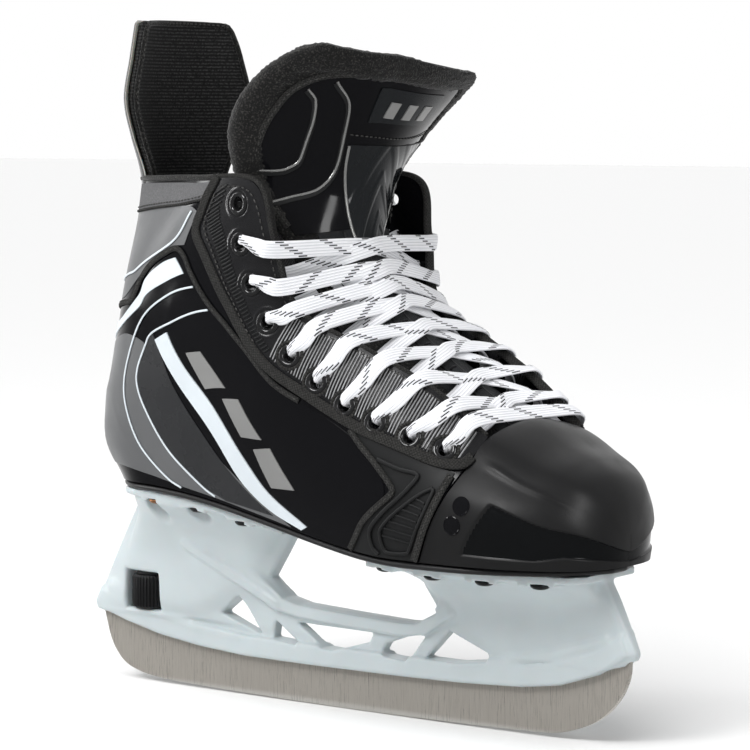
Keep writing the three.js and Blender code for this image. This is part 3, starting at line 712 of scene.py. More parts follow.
# ---------------------------------------------------------------- boot shell
FACING_U = 5
FACING_EDGE = [(0.0, 3.9), (0.02, 3.3), (0.1, 2.98), (0.39, 2.8), (1.03, 2.76), (1.64, 2.7),
               (2.09, 2.74), (2.51, 2.84), (2.96, 2.93), (3.33, 3.02), (3.92, 3.14), (4.39, 3.22),
               (4.72, 3.27), (5.04, 3.33), (5.23, 3.42), (5.37, 3.57), (5.53, 3.76), (5.66, 4.0)]
EYELETS = [(-22, 221.5), (-21, 204.5), (-15.5, 187.5), (-7.5, 171.5), (4, 158),
           (17.5, 147.5), (31.5, 138.5), (46.5, 132), (62.5, 126.8), (77.5, 122)]
EYELET_HOLE = 3.3


def find_on_boot(x, z):
    """The (u, v) of the lateral facing that lies at x, z."""
    u, v = 2.5, 3.5
    e = 0.01
    for _ in range(80):
        p = boot(-1, u, v)
        pu, pv = (boot(-1, u + e, v) - p) / e, (boot(-1, u, v + e) - p) / e
        turn = pu[0] * pv[2] - pv[0] * pu[2]
        off_x, off_z = x - p[0], z - p[2]
        u = float(np.clip(u + 0.5 * (off_x * pv[2] - pv[0] * off_z) / turn, 0, FACING_U))
        v = float(np.clip(v + 0.5 * (pu[0] * off_z - off_x * pu[2]) / turn, 2.5, TOP_V))
    return u, v


EYELET_UV = [find_on_boot(x, z) for x, z in EYELETS]


def to_boot(points, side, uv):
    """Carries a piece made along +Z to the boot's face, +Z outwards."""
    normal = boot_normal(side, *uv)
    along = boot(side, uv[0] - 0.02, uv[1]) - boot(side, uv[0] + 0.02, uv[1])
    along = normalized(along - normal * along.dot(normal))
    across = np.cross(normal, along)
    return boot_at(side, *uv, 0.0) + points @ np.stack([along, across, normal])


def eyelet_drills(side):
    profile = [(0.01, -9), (EYELET_HOLE, -9), (EYELET_HOLE, 5), (0.01, 5)]
    made = []
    for uv in EYELET_UV:
        points, faces = loft(np.array([[(r * math.cos(t), r * math.sin(t), h) for t in
                                        np.linspace(0, 2 * math.pi, 28, endpoint=False)]
                                       for r, h in profile[1:3]]))
        made.append((to_boot(points, side, uv), faces))
    return made


def facing_low(u):
    edge = np.array(FACING_EDGE)
    return np.interp(u, edge[:, 0], edge[:, 1])


def make_quarter(name, side):
    top = lambda u: TOP_V - 0.012 + 0 * u
    sole = lambda u: 0 * u
    us = np.linspace(0.03, HEEL_U, 330)

    piece = boot_wall(f"quarter_shell_{name}", side, us, sole, top, 110, (0, SHELL_T), GLOSS)
    cut(piece, eyelet_drills(side))
    keep(piece, "boot", "gloss_shell", f"quarter_{name}")


FLUTE_PITCH = 1.45
FLUTED_U = 3.05


def show_ridges(piece, us, run, v_rows):
    """Marks where the facing is fluted: X counts the ridges, Y is 1 over the fluted area."""
    u = np.broadcast_to(us[:, None], (len(us), len(v_rows)))
    v = np.stack(v_rows, 1)
    inside = smooth(0.1, 0.2, v - facing_low(u)) * smooth(0.06, 0.14, TOP_V - v)
    fluted = inside * (1 - smooth(FLUTED_U - 0.06, FLUTED_U, u)) * smooth(0.1, 0.2, u)
    for eu, ev in EYELET_UV:
        gap = np.linalg.norm(boot(-1, u, v) - boot(-1, eu, ev), axis=-1)
        fluted = fluted * smooth(6.0, 6.8, gap)
    count = np.broadcast_to((run / FLUTE_PITCH)[:, None], u.shape)
    marks = np.stack([count, fluted], -1).reshape(-1, 2)
    set_weave(piece.data, np.concatenate([marks, marks * [1, 0]]))


def make_facing(name, side):
    """Facing overlay: fluted from the toe to the fifth eyelet, glossy above."""
    us = np.unique(np.concatenate([np.linspace(0.01, FLUTED_U, 560), np.linspace(FLUTED_U, 5.64, 190)]))
    middle = boot(side, us, 3.4 + 0 * us)
    run = lengths(middle)

    def relief(u, v):
        along = np.interp(u, us, run)
        flute = 0.5 * (1 - np.abs(np.cos(math.pi * along / FLUTE_PITCH)))
        rim = np.minimum((v - facing_low(u)) * 30, 40)
        inside = smooth(2.6, 4.5, rim) * smooth(0.12, 0.2, u) * smooth(0.0, 0.08, TOP_V - 0.1 - v)
        fluted = flute * (1 - smooth(FLUTED_U - 0.06, FLUTED_U, u)) * inside
        edge = np.minimum(rim / 1.2, 1)
        dimples = 0
        for k, (eu, ev) in enumerate(EYELET_UV):
            here = boot(side, eu, ev)
            gap = np.linalg.norm(boot(side, u, v) - here, axis=-1)
            flat = smooth(5.2, 6.4, gap)
            fluted = fluted * flat
            if k < 4:
                dimples = dimples + 0.35 * np.exp(-((gap - 6.2) / 0.7) ** 2)
        return fluted + dimples - 0.5 * (1 - np.clip(edge, 0, 1))

    top = lambda u: TOP_V - 0.02 + 0 * u
    low = lambda u: np.minimum(facing_low(u), TOP_V - 0.06)
    rows = 54
    piece = boot_wall(f"facing_panel_{name}", side, us, low, top, rows, (-0.9, 0.4), FLUTES, relief)
    show_ridges(piece, us, run, [lerp(low(us), top(us), j) for j in np.linspace(0, 1, rows)])
    cut(piece, eyelet_drills(side))
    keep(piece, "boot", "facing", f"facing_{name}")
    edge = [(u, v) for u, v in FACING_EDGE[1:]]
    keep(strip(f"facing_tape_{name}", side, edge, 4.6, 1.3, TAPE, -0.7, 300, 0.6), "boot", "facing")
    inset = [(u - 0.05, v + 0.08) for u, v in edge[8:-1]]
    keep(sewn(f"facing_stitch_{name}", side, inset, -1.25, THREAD, 260), "boot", "facing")
    keep(sewn(f"tape_stitch_{name}", side, edge, -1.45, THREAD, 300, 2.0, 1.2), "boot", "facing")
    free = [(0.25, 3.88), (1, 3.88), (2, 3.88), (3, 3.89), (4, 3.9), (4.6, 3.9), (5.1, 3.9), (5.45, 3.86)]
    keep(sewn(f"edge_stitch_{name}", side, free, -1.05, THREAD, 260, 3.0, 1.9), "boot", "facing")


RIBLETS_FROM, RIBLETS_TO = 3.1, 5.45


def make_riblets(name, side):
    """Row of short slanted ribs just inside the facing's rear edge."""
    parts = []
    for u in np.arange(RIBLETS_FROM, RIBLETS_TO, 0.052):
        v = float(facing_low(u)) + 0.13
        path, normal = on_boot(side, [(u, v), (u - 0.03, v + 0.05), (u - 0.06, v + 0.11)], 8, -1.05)
        parts.append(loft(sweep(path, normal, rounded(0.75, 0.6, 0.3, 3))))
    keep(add_mesh(f"facing_riblets_{name}", *merged(parts), SATIN), "boot", "facing")


def make_rims(name, side):
    """Felt-like binding along the facing's free edge and round the collar."""
    free = [(u, TOP_V) for u in (0.04, 0.5, 1, 2, 3, 4, 4.6, 5, 5.3, 5.66)]
    path, normal = on_boot(side, free, 340, SHELL_T / 2 - 0.5)
    rings = sweep(path, normal, rounded(2.2, SHELL_T + 1.5, 1.1))
    keep(add_mesh(f"facing_rim_{name}", *loft(rings), TAPE, ring_weave(rings)), "boot", "facing")
    collar = [(u, TOP_V) for u in (5.64, 6, 6.5, 7, 7.5, 8)]
    path, normal = on_boot(side, collar, 160, SHELL_T / 2 - 0.6)
    rings = sweep(path, normal, rounded(2.6, SHELL_T + 1.6, 1.3))
    keep(add_mesh(f"collar_rim_{name}", *loft(rings), FELT, ring_weave(rings)), "boot", "liner")


# ---------------------------------------------------------------- boot graphics and seams
def make_collar_band(name, side):
    low = [(5.5, 3.72), (6.04, 3.6), (6.9, 3.52), (8, 3.48)]
    high = [(5.62, 3.93), (6.2, 3.93), (7, 3.93), (8, 3.93)]
    keep(area(f"collar_band_{name}", side, low, high, COLLAR, 0.5, 90, 14), "boot", "liner")
    keep(strip(f"collar_piping_{name}", side, low, 1.2, 0.9, TAPE, -0.3, 120), "boot", "liner")
    inner = [(u, v + 0.06) for u, v in low]
    keep(sewn(f"collar_stitch_{name}", side, inner, -0.6, THREAD, 120, 2.4, 1.4), "boot", "liner")


ARCH = [(8, 2.38), (7, 2.45), (6.2, 2.5), (5.85, 2.56), (5.7, 2.79), (5.59, 2.93), (5.43, 3.07),
        (5.28, 3.16), (5.05, 3.13)]


BARS = [[(4.46, 2.3), (4.05, 1.96), (4.2, 2.4), (3.68, 2.14)],
        [(3.72, 1.96), (3.34, 1.56), (3.42, 2.12), (2.98, 1.7)],
        [(3.12, 1.46), (2.84, 0.84), (2.84, 1.62), (2.46, 0.98)]]


def make_heel_graphics(name, side):
    """Printed heel: grey zones, ice-white lines and stripe, and plain slanted bars."""
    def zone(label, left, right, material, lift):
        keep(area(f"{label}_{name}", side, left, right, material, lift), "boot", "gloss_shell")

    def thin(label, places, width, material):
        keep(strip(f"{label}_{name}", side, places, width, 0.5, material, -0.5, 160, 0.2),
             "boot", "gloss_shell")

    zone("upper_heel", [(8, 2.42), (7, 2.5), (6.2, 2.56), (5.76, 2.8), (5.45, 3.12), (5.2, 3.22)],
         [(8, 3.48), (7, 3.51), (6.4, 3.56), (6.0, 3.6), (5.7, 3.62), (5.45, 3.56)], GREY_PRINT, 0.25)
    thin("silver_line", [(8, 2.62), (7, 2.68), (6.2, 2.76), (5.86, 2.86), (5.42, 3.21), (5.55, 3.56)],
         1.0, ICE_PRINT)
    zone("ice_band",
         [(8, 2.22), (7, 2.28), (6.2, 2.36), (5.7, 2.6), (5.61, 2.78), (5.38, 2.98), (5.2, 3.08)],
         [(8, 2.08), (7, 2.14), (6.2, 2.28), (5.65, 2.5), (5.5, 2.65), (5.2, 2.82), (4.9, 3.0)],
         ICE_PRINT, 0.42)
    zone("heel_field", [(8, 2.04), (7, 2.08), (6.3, 2.18), (5.9, 2.24), (5.6, 2.24), (5.4, 2.22)],
         [(8, 0.45), (7, 0.4), (6.0, 0.35), (5.3, 0.25), (4.3, 0.1), (2.6, 0.05)], GREY_PRINT, 0.25)
    zone("dark_sweep", [(5.2, 2.34), (5.35, 2.2), (5.43, 1.94), (5.38, 1.71), (5.1, 1.34), (4.55, 0.69),
                        (4.14, 0.27), (3.75, 0.1)],
         [(5.12, 2.28), (4.95, 2.15), (4.75, 1.95), (4.5, 1.7), (4.1, 1.3), (3.6, 0.8), (3.2, 0.4),
          (2.9, 0.16)], DARK_PRINT, 0.42)
    thin("outer_line", [(4.62, 2.97), (5.05, 2.73), (5.48, 2.44), (5.7, 2.09), (5.77, 1.69), (5.64, 1.33),
                        (5.34, 0.84), (4.87, 0.27), (4.6, 0.1)], 0.9, ICE_PRINT)
    thin("inner_line", [(4.22, 2.9), (4.79, 2.55), (5.22, 2.34), (5.33, 2.21), (5.45, 1.94), (5.41, 1.71),
                        (5.12, 1.34), (4.57, 0.69), (4.16, 0.25), (3.95, 0.12)], 0.9, ICE_PRINT)
    zone("stripe", [(5.14, 2.29), (4.55, 1.89), (3.85, 1.3), (3.31, 0.6), (2.9, 0.25), (2.4, 0.08)],
         [(4.9, 2.41), (4.5, 2.14), (3.85, 1.72), (3.3, 1.18), (2.86, 0.62), (2.3, 0.2)], ICE_PRINT, 0.55)
    black = [(4.8, 2.5), (4.4, 2.25), (3.83, 1.78), (3.28, 1.24), (2.82, 0.66), (2.3, 0.24)]
    cover = [(4.26, 2.95), (3.5, 2.9), (2.49, 2.66), (1.5, 2.36), (0.98, 1.5), (1.38, 0.15)]
    zone("flank", black, cover, GLOSS, 0.35)
    for k, corners in enumerate(BARS):
        left, right = corners[:2], corners[2:]
        zone(f"bar_{k + 1}", left, right, SILVER_PRINT, 0.75)


def make_seams(name, side):
    """Taped seams of the quarter: the arch over the heel, the flank seam and the vamp arrow."""
    arch = ARCH + [(4.76, 3.05), (4.26, 2.96), (3.74, 2.92), (3.3, 2.88), (2.84, 2.72), (2.49, 2.66)]
    keep(strip(f"arch_tape_{name}", side, arch, 2.6, 0.9, TAPE, -0.3, 320), "boot", "gloss_shell")
    keep(sewn(f"arch_stitch_{name}", side, arch, -0.85, THREAD, 320, 3.2, 1.8), "boot", "gloss_shell")
    arrow = [(1.75, 2.6), (1.57, 2.43), (1.29, 2.21), (0.95, 1.86), (0.86, 1.68), (0.92, 1.45),
             (1.1, 1.05), (1.25, 0.72), (1.38, 0.27), (1.45, 0.05)]
    keep(strip(f"arrow_tape_{name}", side, arrow, 2.8, 1.1, TAPE, -0.5, 180), "boot", "gloss_shell")
    keep(sewn(f"arrow_stitch_{name}", side, arrow, -1.2, THREAD, 180, 3.0, 1.8), "boot", "gloss_shell")
    cap = [(0.12, 2.6), (0.1, 2.2), (0.08, 1.5), (0.08, 0.8), (0.1, 0.05)]
    keep(strip(f"cap_tape_{name}", side, cap, 3.4, 1.0, TAPE, -0.5, 120), "boot", "gloss_shell")
    keep(sewn(f"cap_stitch_{name}", side, cap, -1.1, THREAD, 120, 2.6, 1.6), "boot", "gloss_shell")


def make_vamp(name, side):
    """Moulded vamp overlay with its louvred vent."""
    rear = [(1.75, 2.62), (1.5, 2.36), (1.22, 2.14), (0.9, 1.82), (0.84, 1.65), (0.98, 1.25),
            (1.18, 0.8), (1.34, 0.3), (1.42, 0.02)]
    front = [(0.1, 2.7), (0.08, 2.4), (0.07, 2.1), (0.06, 1.8), (0.06, 1.5), (0.06, 1.1),
             (0.07, 0.8), (0.08, 0.4), (0.1, 0.02)]
    keep(area(f"vamp_panel_{name}", side, rear, front, SATIN, 0.5, 120, 40), "boot", "gloss_shell")
    frame_line = [(1.25, 2.3), (0.9, 2.28), (0.58, 2.3), (0.62, 1.9), (0.74, 1.5), (0.92, 1.05),
                  (1.08, 0.6), (1.0, 0.25), (0.86, 0.1)]
    keep(strip(f"vamp_ridge_{name}", side, frame_line, 1.8, 1.0, SATIN, -0.8, 140, 0.5),
         "boot", "gloss_shell")
    rim = [(0.24, 2.1), (0.38, 1.85), (0.6, 1.35), (0.84, 0.8), (0.88, 0.58), (0.76, 0.24),
           (0.6, 0.18), (0.3, 0.22), (0.24, 0.3), (0.2, 0.8), (0.18, 1.4), (0.2, 1.95), (0.24, 2.1)]
    keep(strip(f"vent_rim_{name}", side, rim, 1.4, 1.1, SATIN, -0.8, 200, 0.5), "boot", "gloss_shell")
    parts = []
    for k in range(7):
        v = 0.55 + 0.19 * k
        rear_u = 0.84 - 0.42 * max(v - 0.75, 0)
        groove = [(rear_u, v), (lerp(rear_u, 0.24, 0.5), v - 0.03), (0.24, v - 0.07)]
        path, normal = on_boot(side, groove, 14, -0.6)
        parts.append(loft(sweep(path, normal, rounded(1.0, 1.3, 0.45, 3))))
    keep(add_mesh(f"vent_louvres_{name}", *merged(parts), SATIN), "boot", "gloss_shell")


# ---------------------------------------------------------------- eyelets
def make_eyelets(name, side):
    flange = [(2.6, -4.2), (3.05, -4.2), (3.05, 0.75), (4.6, 0.72), (5.0, 0.8), (5.15, 1.05), (4.95, 1.4),
              (4.3, 1.75), (3.5, 1.7), (2.9, 1.2), (2.62, 0.4)]
    for k, uv in enumerate(EYELET_UV):
        points, faces = turned(flange, 56)
        piece = add_mesh(f"eyelet_ring_{name}_{k + 1:02d}", to_boot(points, side, uv), faces, EYELET_BLACK)
        keep(piece, "boot", "eyelet", f"eyelet_{name}_{k + 1:02d}")
        if k >= 4:
            ring = [(5.1, 0.7), (5.4, 0.6), (6.3, 0.7), (6.5, 1.0), (6.2, 1.35), (5.6, 1.45), (5.2, 1.2)]
            points, faces = turned(ring, 48)
            collar = add_mesh(f"eyelet_cord_{name}_{k + 1:02d}", to_boot(points, side, uv), faces, TAPE,
                              np.repeat(np.linspace(0, 40, 48), len(ring))[:, None] * [1, 0] + [0, 0])
            keep(collar, "boot", "facing")


# ---------------------------------------------------------------- inside of the boot
def make_ankle_pad(name, side):
    """Foam ankle padding with two quilted channels, knit outside."""
    us, rows = np.linspace(4.2, HEEL_U - 0.03, 120), 60
    t = np.linspace(0, 1, rows)
    top = lerp(3.1, 3.93, smooth(FACING_U, FACING_U + 0.4, us))
    u = np.broadcast_to(us[:, None], (len(us), rows))
    v = lerp(0.7, top[:, None], t[None])
    edge = np.minimum(np.minimum(u - 4.2, 0.4) / 0.4, np.minimum(t, 1 - t)[None] / 0.14)
    crown = np.sqrt(np.clip(edge, 0, 1))
    channel = 0.9 * sum(np.exp(-((v - level) / 0.06) ** 2) for level in (1.6, 2.6))
    thick = PAD_T * lerp(0.35, 1.0, crown) - channel * crown
    base = SHELL_T + PAD_GAP
    outer, inner = boot_at(side, u, v, base + 0 * u), boot_at(side, u, v, base + thick)
    piece = add_mesh(f"ankle_foam_{name}", *shell(outer, inner), LINER, grid_weave(outer))
    keep(piece, "boot", "liner", f"ankle_pad_{name}")


SOLE_OUTLINE = [
    [-124, 3, 0], [-119, 15, 0.1], [-104, 27, 0.5], [-80, 32, 0.8], [-50, 34, 1], [-17, 36.5, 1],
    [15, 40, 1], [44, 44, 1], [70, 45, 1], [95, 42, 0.8], [117, 33, 0.5], [131, 21, 0.2], [139, 6, 0],
]
SOLE_CENTRE = 10


def sole_edge(side, t, inset):
    row = spline(SOLE_OUTLINE, t * (len(SOLE_OUTLINE) - 1))
    shrink = 1 - inset / 130
    x = SOLE_CENTRE + (row[..., 0] - SOLE_CENTRE) * shrink + (side > 0) * MEDIAL_LEAD * row[..., 2]
    return np.stack([x, side * np.maximum(row[..., 1] - inset, 0.5), 0 * x], -1)


def make_sole_plate(name, inset, rise, thickness, material, slot, node, crown=0.0):
    """One layer of the sole, its edges rounded over its thickness."""
    t = np.linspace(0, 1, 150)
    levels = np.linspace(-1, 1, 7)
    grids = []
    for level in levels:
        pull = inset + 0.45 * thickness * (1 - math.sqrt(max(1 - level ** 2, 0)))
        a, b = sole_edge(-1, t, pull), sole_edge(1, t, pull)
        across = np.linspace(0, 1, 25)[None, :, None]
        grid = lerp(a[:, None], b[:, None], across)
        bow = crown * (2 * across[..., 0] - 1) ** 2
        grid[..., 2] = sole_z(grid[..., 0]) + rise + thickness * (level + 1) / 2 + bow
        grids.append(grid)
    count = grids[0].shape[0] * grids[0].shape[1]
    index = np.arange(count).reshape(grids[0].shape[:2])
    rim = np.concatenate([index[:, 0], index[-1, 1:], index[-2::-1, -1], index[0, -2::-1]])
    stack = np.stack([rim + k * count for k in range(len(levels))])
    faces = np.concatenate([quads(index, True), quads(index + (len(levels) - 1) * count), quads(stack)])
    points = np.concatenate([g.reshape(-1, 3) for g in grids])
    piece = add_mesh(name, points, faces, material, points[:, :2], 50)
    drop_loose(piece)
    return keep(piece, "boot", slot, node)


def drop_loose(piece):
    """Removes points that no face uses."""
    work = bmesh.new()
    work.from_mesh(piece.data)
    bmesh.ops.delete(work, geom=[v for v in work.verts if not v.link_faces], context="VERTS")
    work.to_mesh(piece.data)
    work.free()


# ---------------------------------------------------------------- toe cap
CAP_TIP = 143
CAP_CREST = [95, 0, 133]
CAP_HEIGHT = [1, 0.84, 0.74, 0.63, 0.46, 0.24]
CAP_SQUARE = 2.6


def cap_point(a, s, d=0.0):
    """Toe cap: a over the arch from the lateral sole edge to the medial one, s from seam to tip."""
    a, s, d = np.broadcast_arrays(*(np.asarray(x, float) for x in (a, s, d)))
    levels = np.arange(5)
    arch = np.concatenate([boot(-1, 0, levels), [CAP_CREST], boot(1, 0, levels[::-1])])
    p = spline(arch, a * (len(arch) - 1))
    ahead = np.sin(s * math.pi / 2) ** (2 / CAP_SQUARE)
    across = np.maximum(np.cos(s * math.pi / 2), 0) ** (2 / CAP_SQUARE)
    base = SOLE_TOE_Z + SOLE_T + GAP
    keeps = spline(CAP_HEIGHT, s * (len(CAP_HEIGHT) - 1))
    return np.stack([lerp(p[..., 0], CAP_TIP - d, ahead),
                     p[..., 1] * np.maximum(across, 0.002) * (1 - d / 46),
                     base + (p[..., 2] - base) * keeps * (1 - d / 56)], -1)


RECESS_DEPTH = 1.0


def cap_recess(a, s):
    """How far the side panel of the cap lies below its face, and where it is."""
    half = np.minimum(a, 1 - a)
    low = 0.035 + 0.02 * smooth(0.4, 0.6, s)
    high = lerp(0.215, 0.17, smooth(0.1, 0.5, s))
    inside = smooth(low - 0.006, low + 0.006, half) * (1 - smooth(high - 0.006, high + 0.006, half))
    return inside * smooth(0.115, 0.135, s - 0.25 * (half - 0.1))


def make_toe_cap():
    a, s = np.meshgrid(np.linspace(0, 1, 300), np.linspace(0, 1, 200), indexing="ij")
    recess = cap_recess(a, s)
    crease = np.exp(-((np.minimum(a, 1 - a) - lerp(0.33, 0.25, s)) / 0.012) ** 2)
    crease = crease * smooth(0.02, 0.1, s) * (1 - smooth(0.35, 0.6, s))
    depth = RECESS_DEPTH * recess - 0.55 * crease
    outer, inner = cap_point(a, s, depth), cap_point(a, s, SHELL_T + 0 * a)
    piece = add_mesh("toe_cap_shell", *shell(outer, inner), CAP_SATIN, grid_weave(outer), 50)
    piece.data.materials.append(RECESS)
    dark = (recess[:-1, :-1] > 0.55).ravel()
    index = np.zeros(len(piece.data.polygons), int)
    index[:len(dark)] = dark
    piece.data.polygons.foreach_set("material_index", index)
    keep(piece, "boot", "toe_cap", "toe_cap")
    for name, side in SIDES:
        for k, (x, z) in enumerate(((90.2, 100.5), (85.8, 92.3))):
            make_cap_dot(f"cap_dot_{name}_{k + 1}", side, x, z)


def make_cap_dot(name, side, x, z):
    """Round glossy inlay near the cap's rear seam."""
    half = np.linspace(0.02, 0.3, 60)
    a, s = np.meshgrid(half if side < 0 else 1 - half, np.linspace(0.0, 0.4, 60), indexing="ij")
    points = cap_point(a, s)
    lead = MEDIAL_LEAD if side > 0 else 0
    miss = (points[..., 0] - x - lead) ** 2 + (points[..., 2] - z) ** 2
    i, j = np.unravel_index(np.argmin(miss), miss.shape)
    e = 0.01
    du = cap_point(a[i, j] + e, s[i, j]) - cap_point(a[i, j] - e, s[i, j])
    dv = cap_point(a[i, j], s[i, j] + e) - cap_point(a[i, j], s[i, j] - e)
    normal = normalized(np.cross(du, dv))
    normal = normal * math.copysign(1, normal[1] * side)
    along = normalized(du - normal * du.dot(normal))
    across = np.cross(normal, along)
    profile = [(0.02, -0.6), (3.9, -0.6), (4.0, 0.15), (3.7, 0.32), (3.4, 0.1), (1.6, 0.3), (0.02, 0.36)]
    made, faces = turned(profile, 40)
    placed = points[i, j] + made @ np.stack([along, across, normal])
    keep(add_mesh(name, placed, faces, GLOSS), "boot", "toe_cap")


# ---------------------------------------------------------------- tongue
TONGUE = [[97, 122, 17, 7], [84, 135, 19, 8], [62, 150, 22, 10], [38, 167, 24, 10], [20, 184, 27, 12],
          [10, 203, 32, 14], [7, 224, 39, 18], [10, 246, 48, 20], [17, 267, 47, 18], [25, 284, 35, 10]]
TONGUE_T = 8
FLARE = [8, 15, -11]
CURL = 11
TONGUE_BEND = 5.78


def tongue(s, c, d=0.0):
    """Point of the tongue: s along it, c from -1 lateral to 1 medial, at a depth."""
    s, c, d = np.broadcast_arrays(*(np.asarray(x, float) for x in (s, c, d)))
    e = 0.05
    row = spline(TONGUE, s)
    step = spline(TONGUE, s + e) - spline(TONGUE, s - e)
    along = normalized(np.stack([step[..., 0], 0 * s, step[..., 1]], -1))
    out = np.stack([along[..., 2], 0 * s, -along[..., 0]], -1)
    half, back = row[..., 2], row[..., 3]
    face = normalized(out + np.stack([0 * s, 2 * back * c / half, 0 * s], -1))
    point = np.stack([row[..., 0], 0 * s, row[..., 1]], -1) - out * (back * c * c)[..., None]
    lean = smooth(4, 8, s)
    flare = np.maximum(c, 0) * smooth(6, 9, s)
    curl = np.maximum(-c, 0) ** 2 * smooth(5.2, 6.4, s) * (1 - smooth(6.9, 9, s))
    point[..., 1] += c * half + 3 * lean + FLARE[1] * flare
    point[..., 0] += 0.1 * lean * c * half + FLARE[0] * flare - CURL * curl
    point[..., 2] += FLARE[2] * flare
    return point - face * d[..., None]


def tongue_normal(s, c):
    e = 0.02
    du = tongue(s + e, c) - tongue(s - e, c)
    dc = tongue(s, c + e) - tongue(s, c - e)
    return normalized(np.cross(dc, du))


def make_tongue_felt():
    """Thick felt tongue with a raised rolled border; it bends at the top of the laces."""
    last = len(TONGUE) - 1
    s = np.concatenate([np.linspace(0, 5, 90), np.linspace(5.03, last, 110)])
    end = np.sqrt(np.clip((last + 0.02 - s) / 0.35, 0, 1))
    c = np.linspace(-1, 1, 46)
    half_ring = np.linspace(0, math.pi, 12)[1:-1]
    rings = []
    for k, station in enumerate(s):
        upper = smooth(5.2, 6.2, station)
        swell = 1.9 * upper * smooth(0.86, 0.95, np.abs(c))
        top_roll = 1.9 * smooth(8.25, 8.5, station)
        lift = np.maximum(swell, top_roll) * end[k]
        thick = lerp(TONGUE_T * 0.62, TONGUE_T, upper) * max(end[k], 0.12)
        outer = tongue(station, c, -lift)
        inner = tongue(station, c[::-1], thick)
        caps = []
        for sign in (1, -1):
            edge, under = tongue(station, sign, -lift[0]), tongue(station, sign, thick)
            middle, reach = (edge + under) / 2, np.linalg.norm(edge - under) / 2
            up = normalized(edge - under) if sign > 0 else normalized(under - edge)
            away = normalized(tongue(station, sign) - tongue(station, sign * 0.96))
            caps.append([middle + reach * (math.cos(t) * up + math.sin(t) * away) for t in half_ring])
        rings.append(np.concatenate([outer, caps[0], inner, caps[1]]))
    rings = np.array(rings)
    fuzz = RANDOM.normal(0, 0.16, rings.shape)
    rings = rings + fuzz * smooth(5.0, 5.6, s)[:, None, None]
    piece = add_mesh("tongue_felt", *loft(rings), FELT, ring_weave(rings), 70)
    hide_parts("tongue_lower", "tongue_upper")
    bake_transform(piece)


def on_tongue(places, count, depth):
    sc = line(places, count)
    return tongue(sc[:, 0], sc[:, 1], depth), tongue_normal(sc[:, 0], sc[:, 1])


def tongue_strip(name, places, width, height, material, depth, count=140, corner=0.5, blended=False):
    path, normal = on_tongue(places, count, depth)
    rings = sweep(path, normal, rounded(width, height, corner))
    piece = add_mesh(name, *loft(rings), material, ring_weave(rings))
    if blended:
        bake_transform(piece)
    else:
        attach(piece, "tongue_top")
    return piece


def tongue_patch(name, s_range, left, right, depths, material, count=90, across=60, relief=None):
    """Sheet over the tongue between two edges given as c for each s."""
    s = np.linspace(*s_range, count)
    ends = [np.interp(s, *np.transpose(edge)) for edge in (left, right)]
    t = np.linspace(0, 1, across)
    c = lerp(ends[0][:, None], ends[1][:, None], t[None])
    station = np.broadcast_to(s[:, None], c.shape)
    rise = 0 if relief is None else relief(station, c)
    outer, inner = tongue(station, c, depths[0] - rise), tongue(station, c, depths[1] + 0 * c)
    return add_mesh(name, *shell(outer, inner), material, grid_weave(outer))


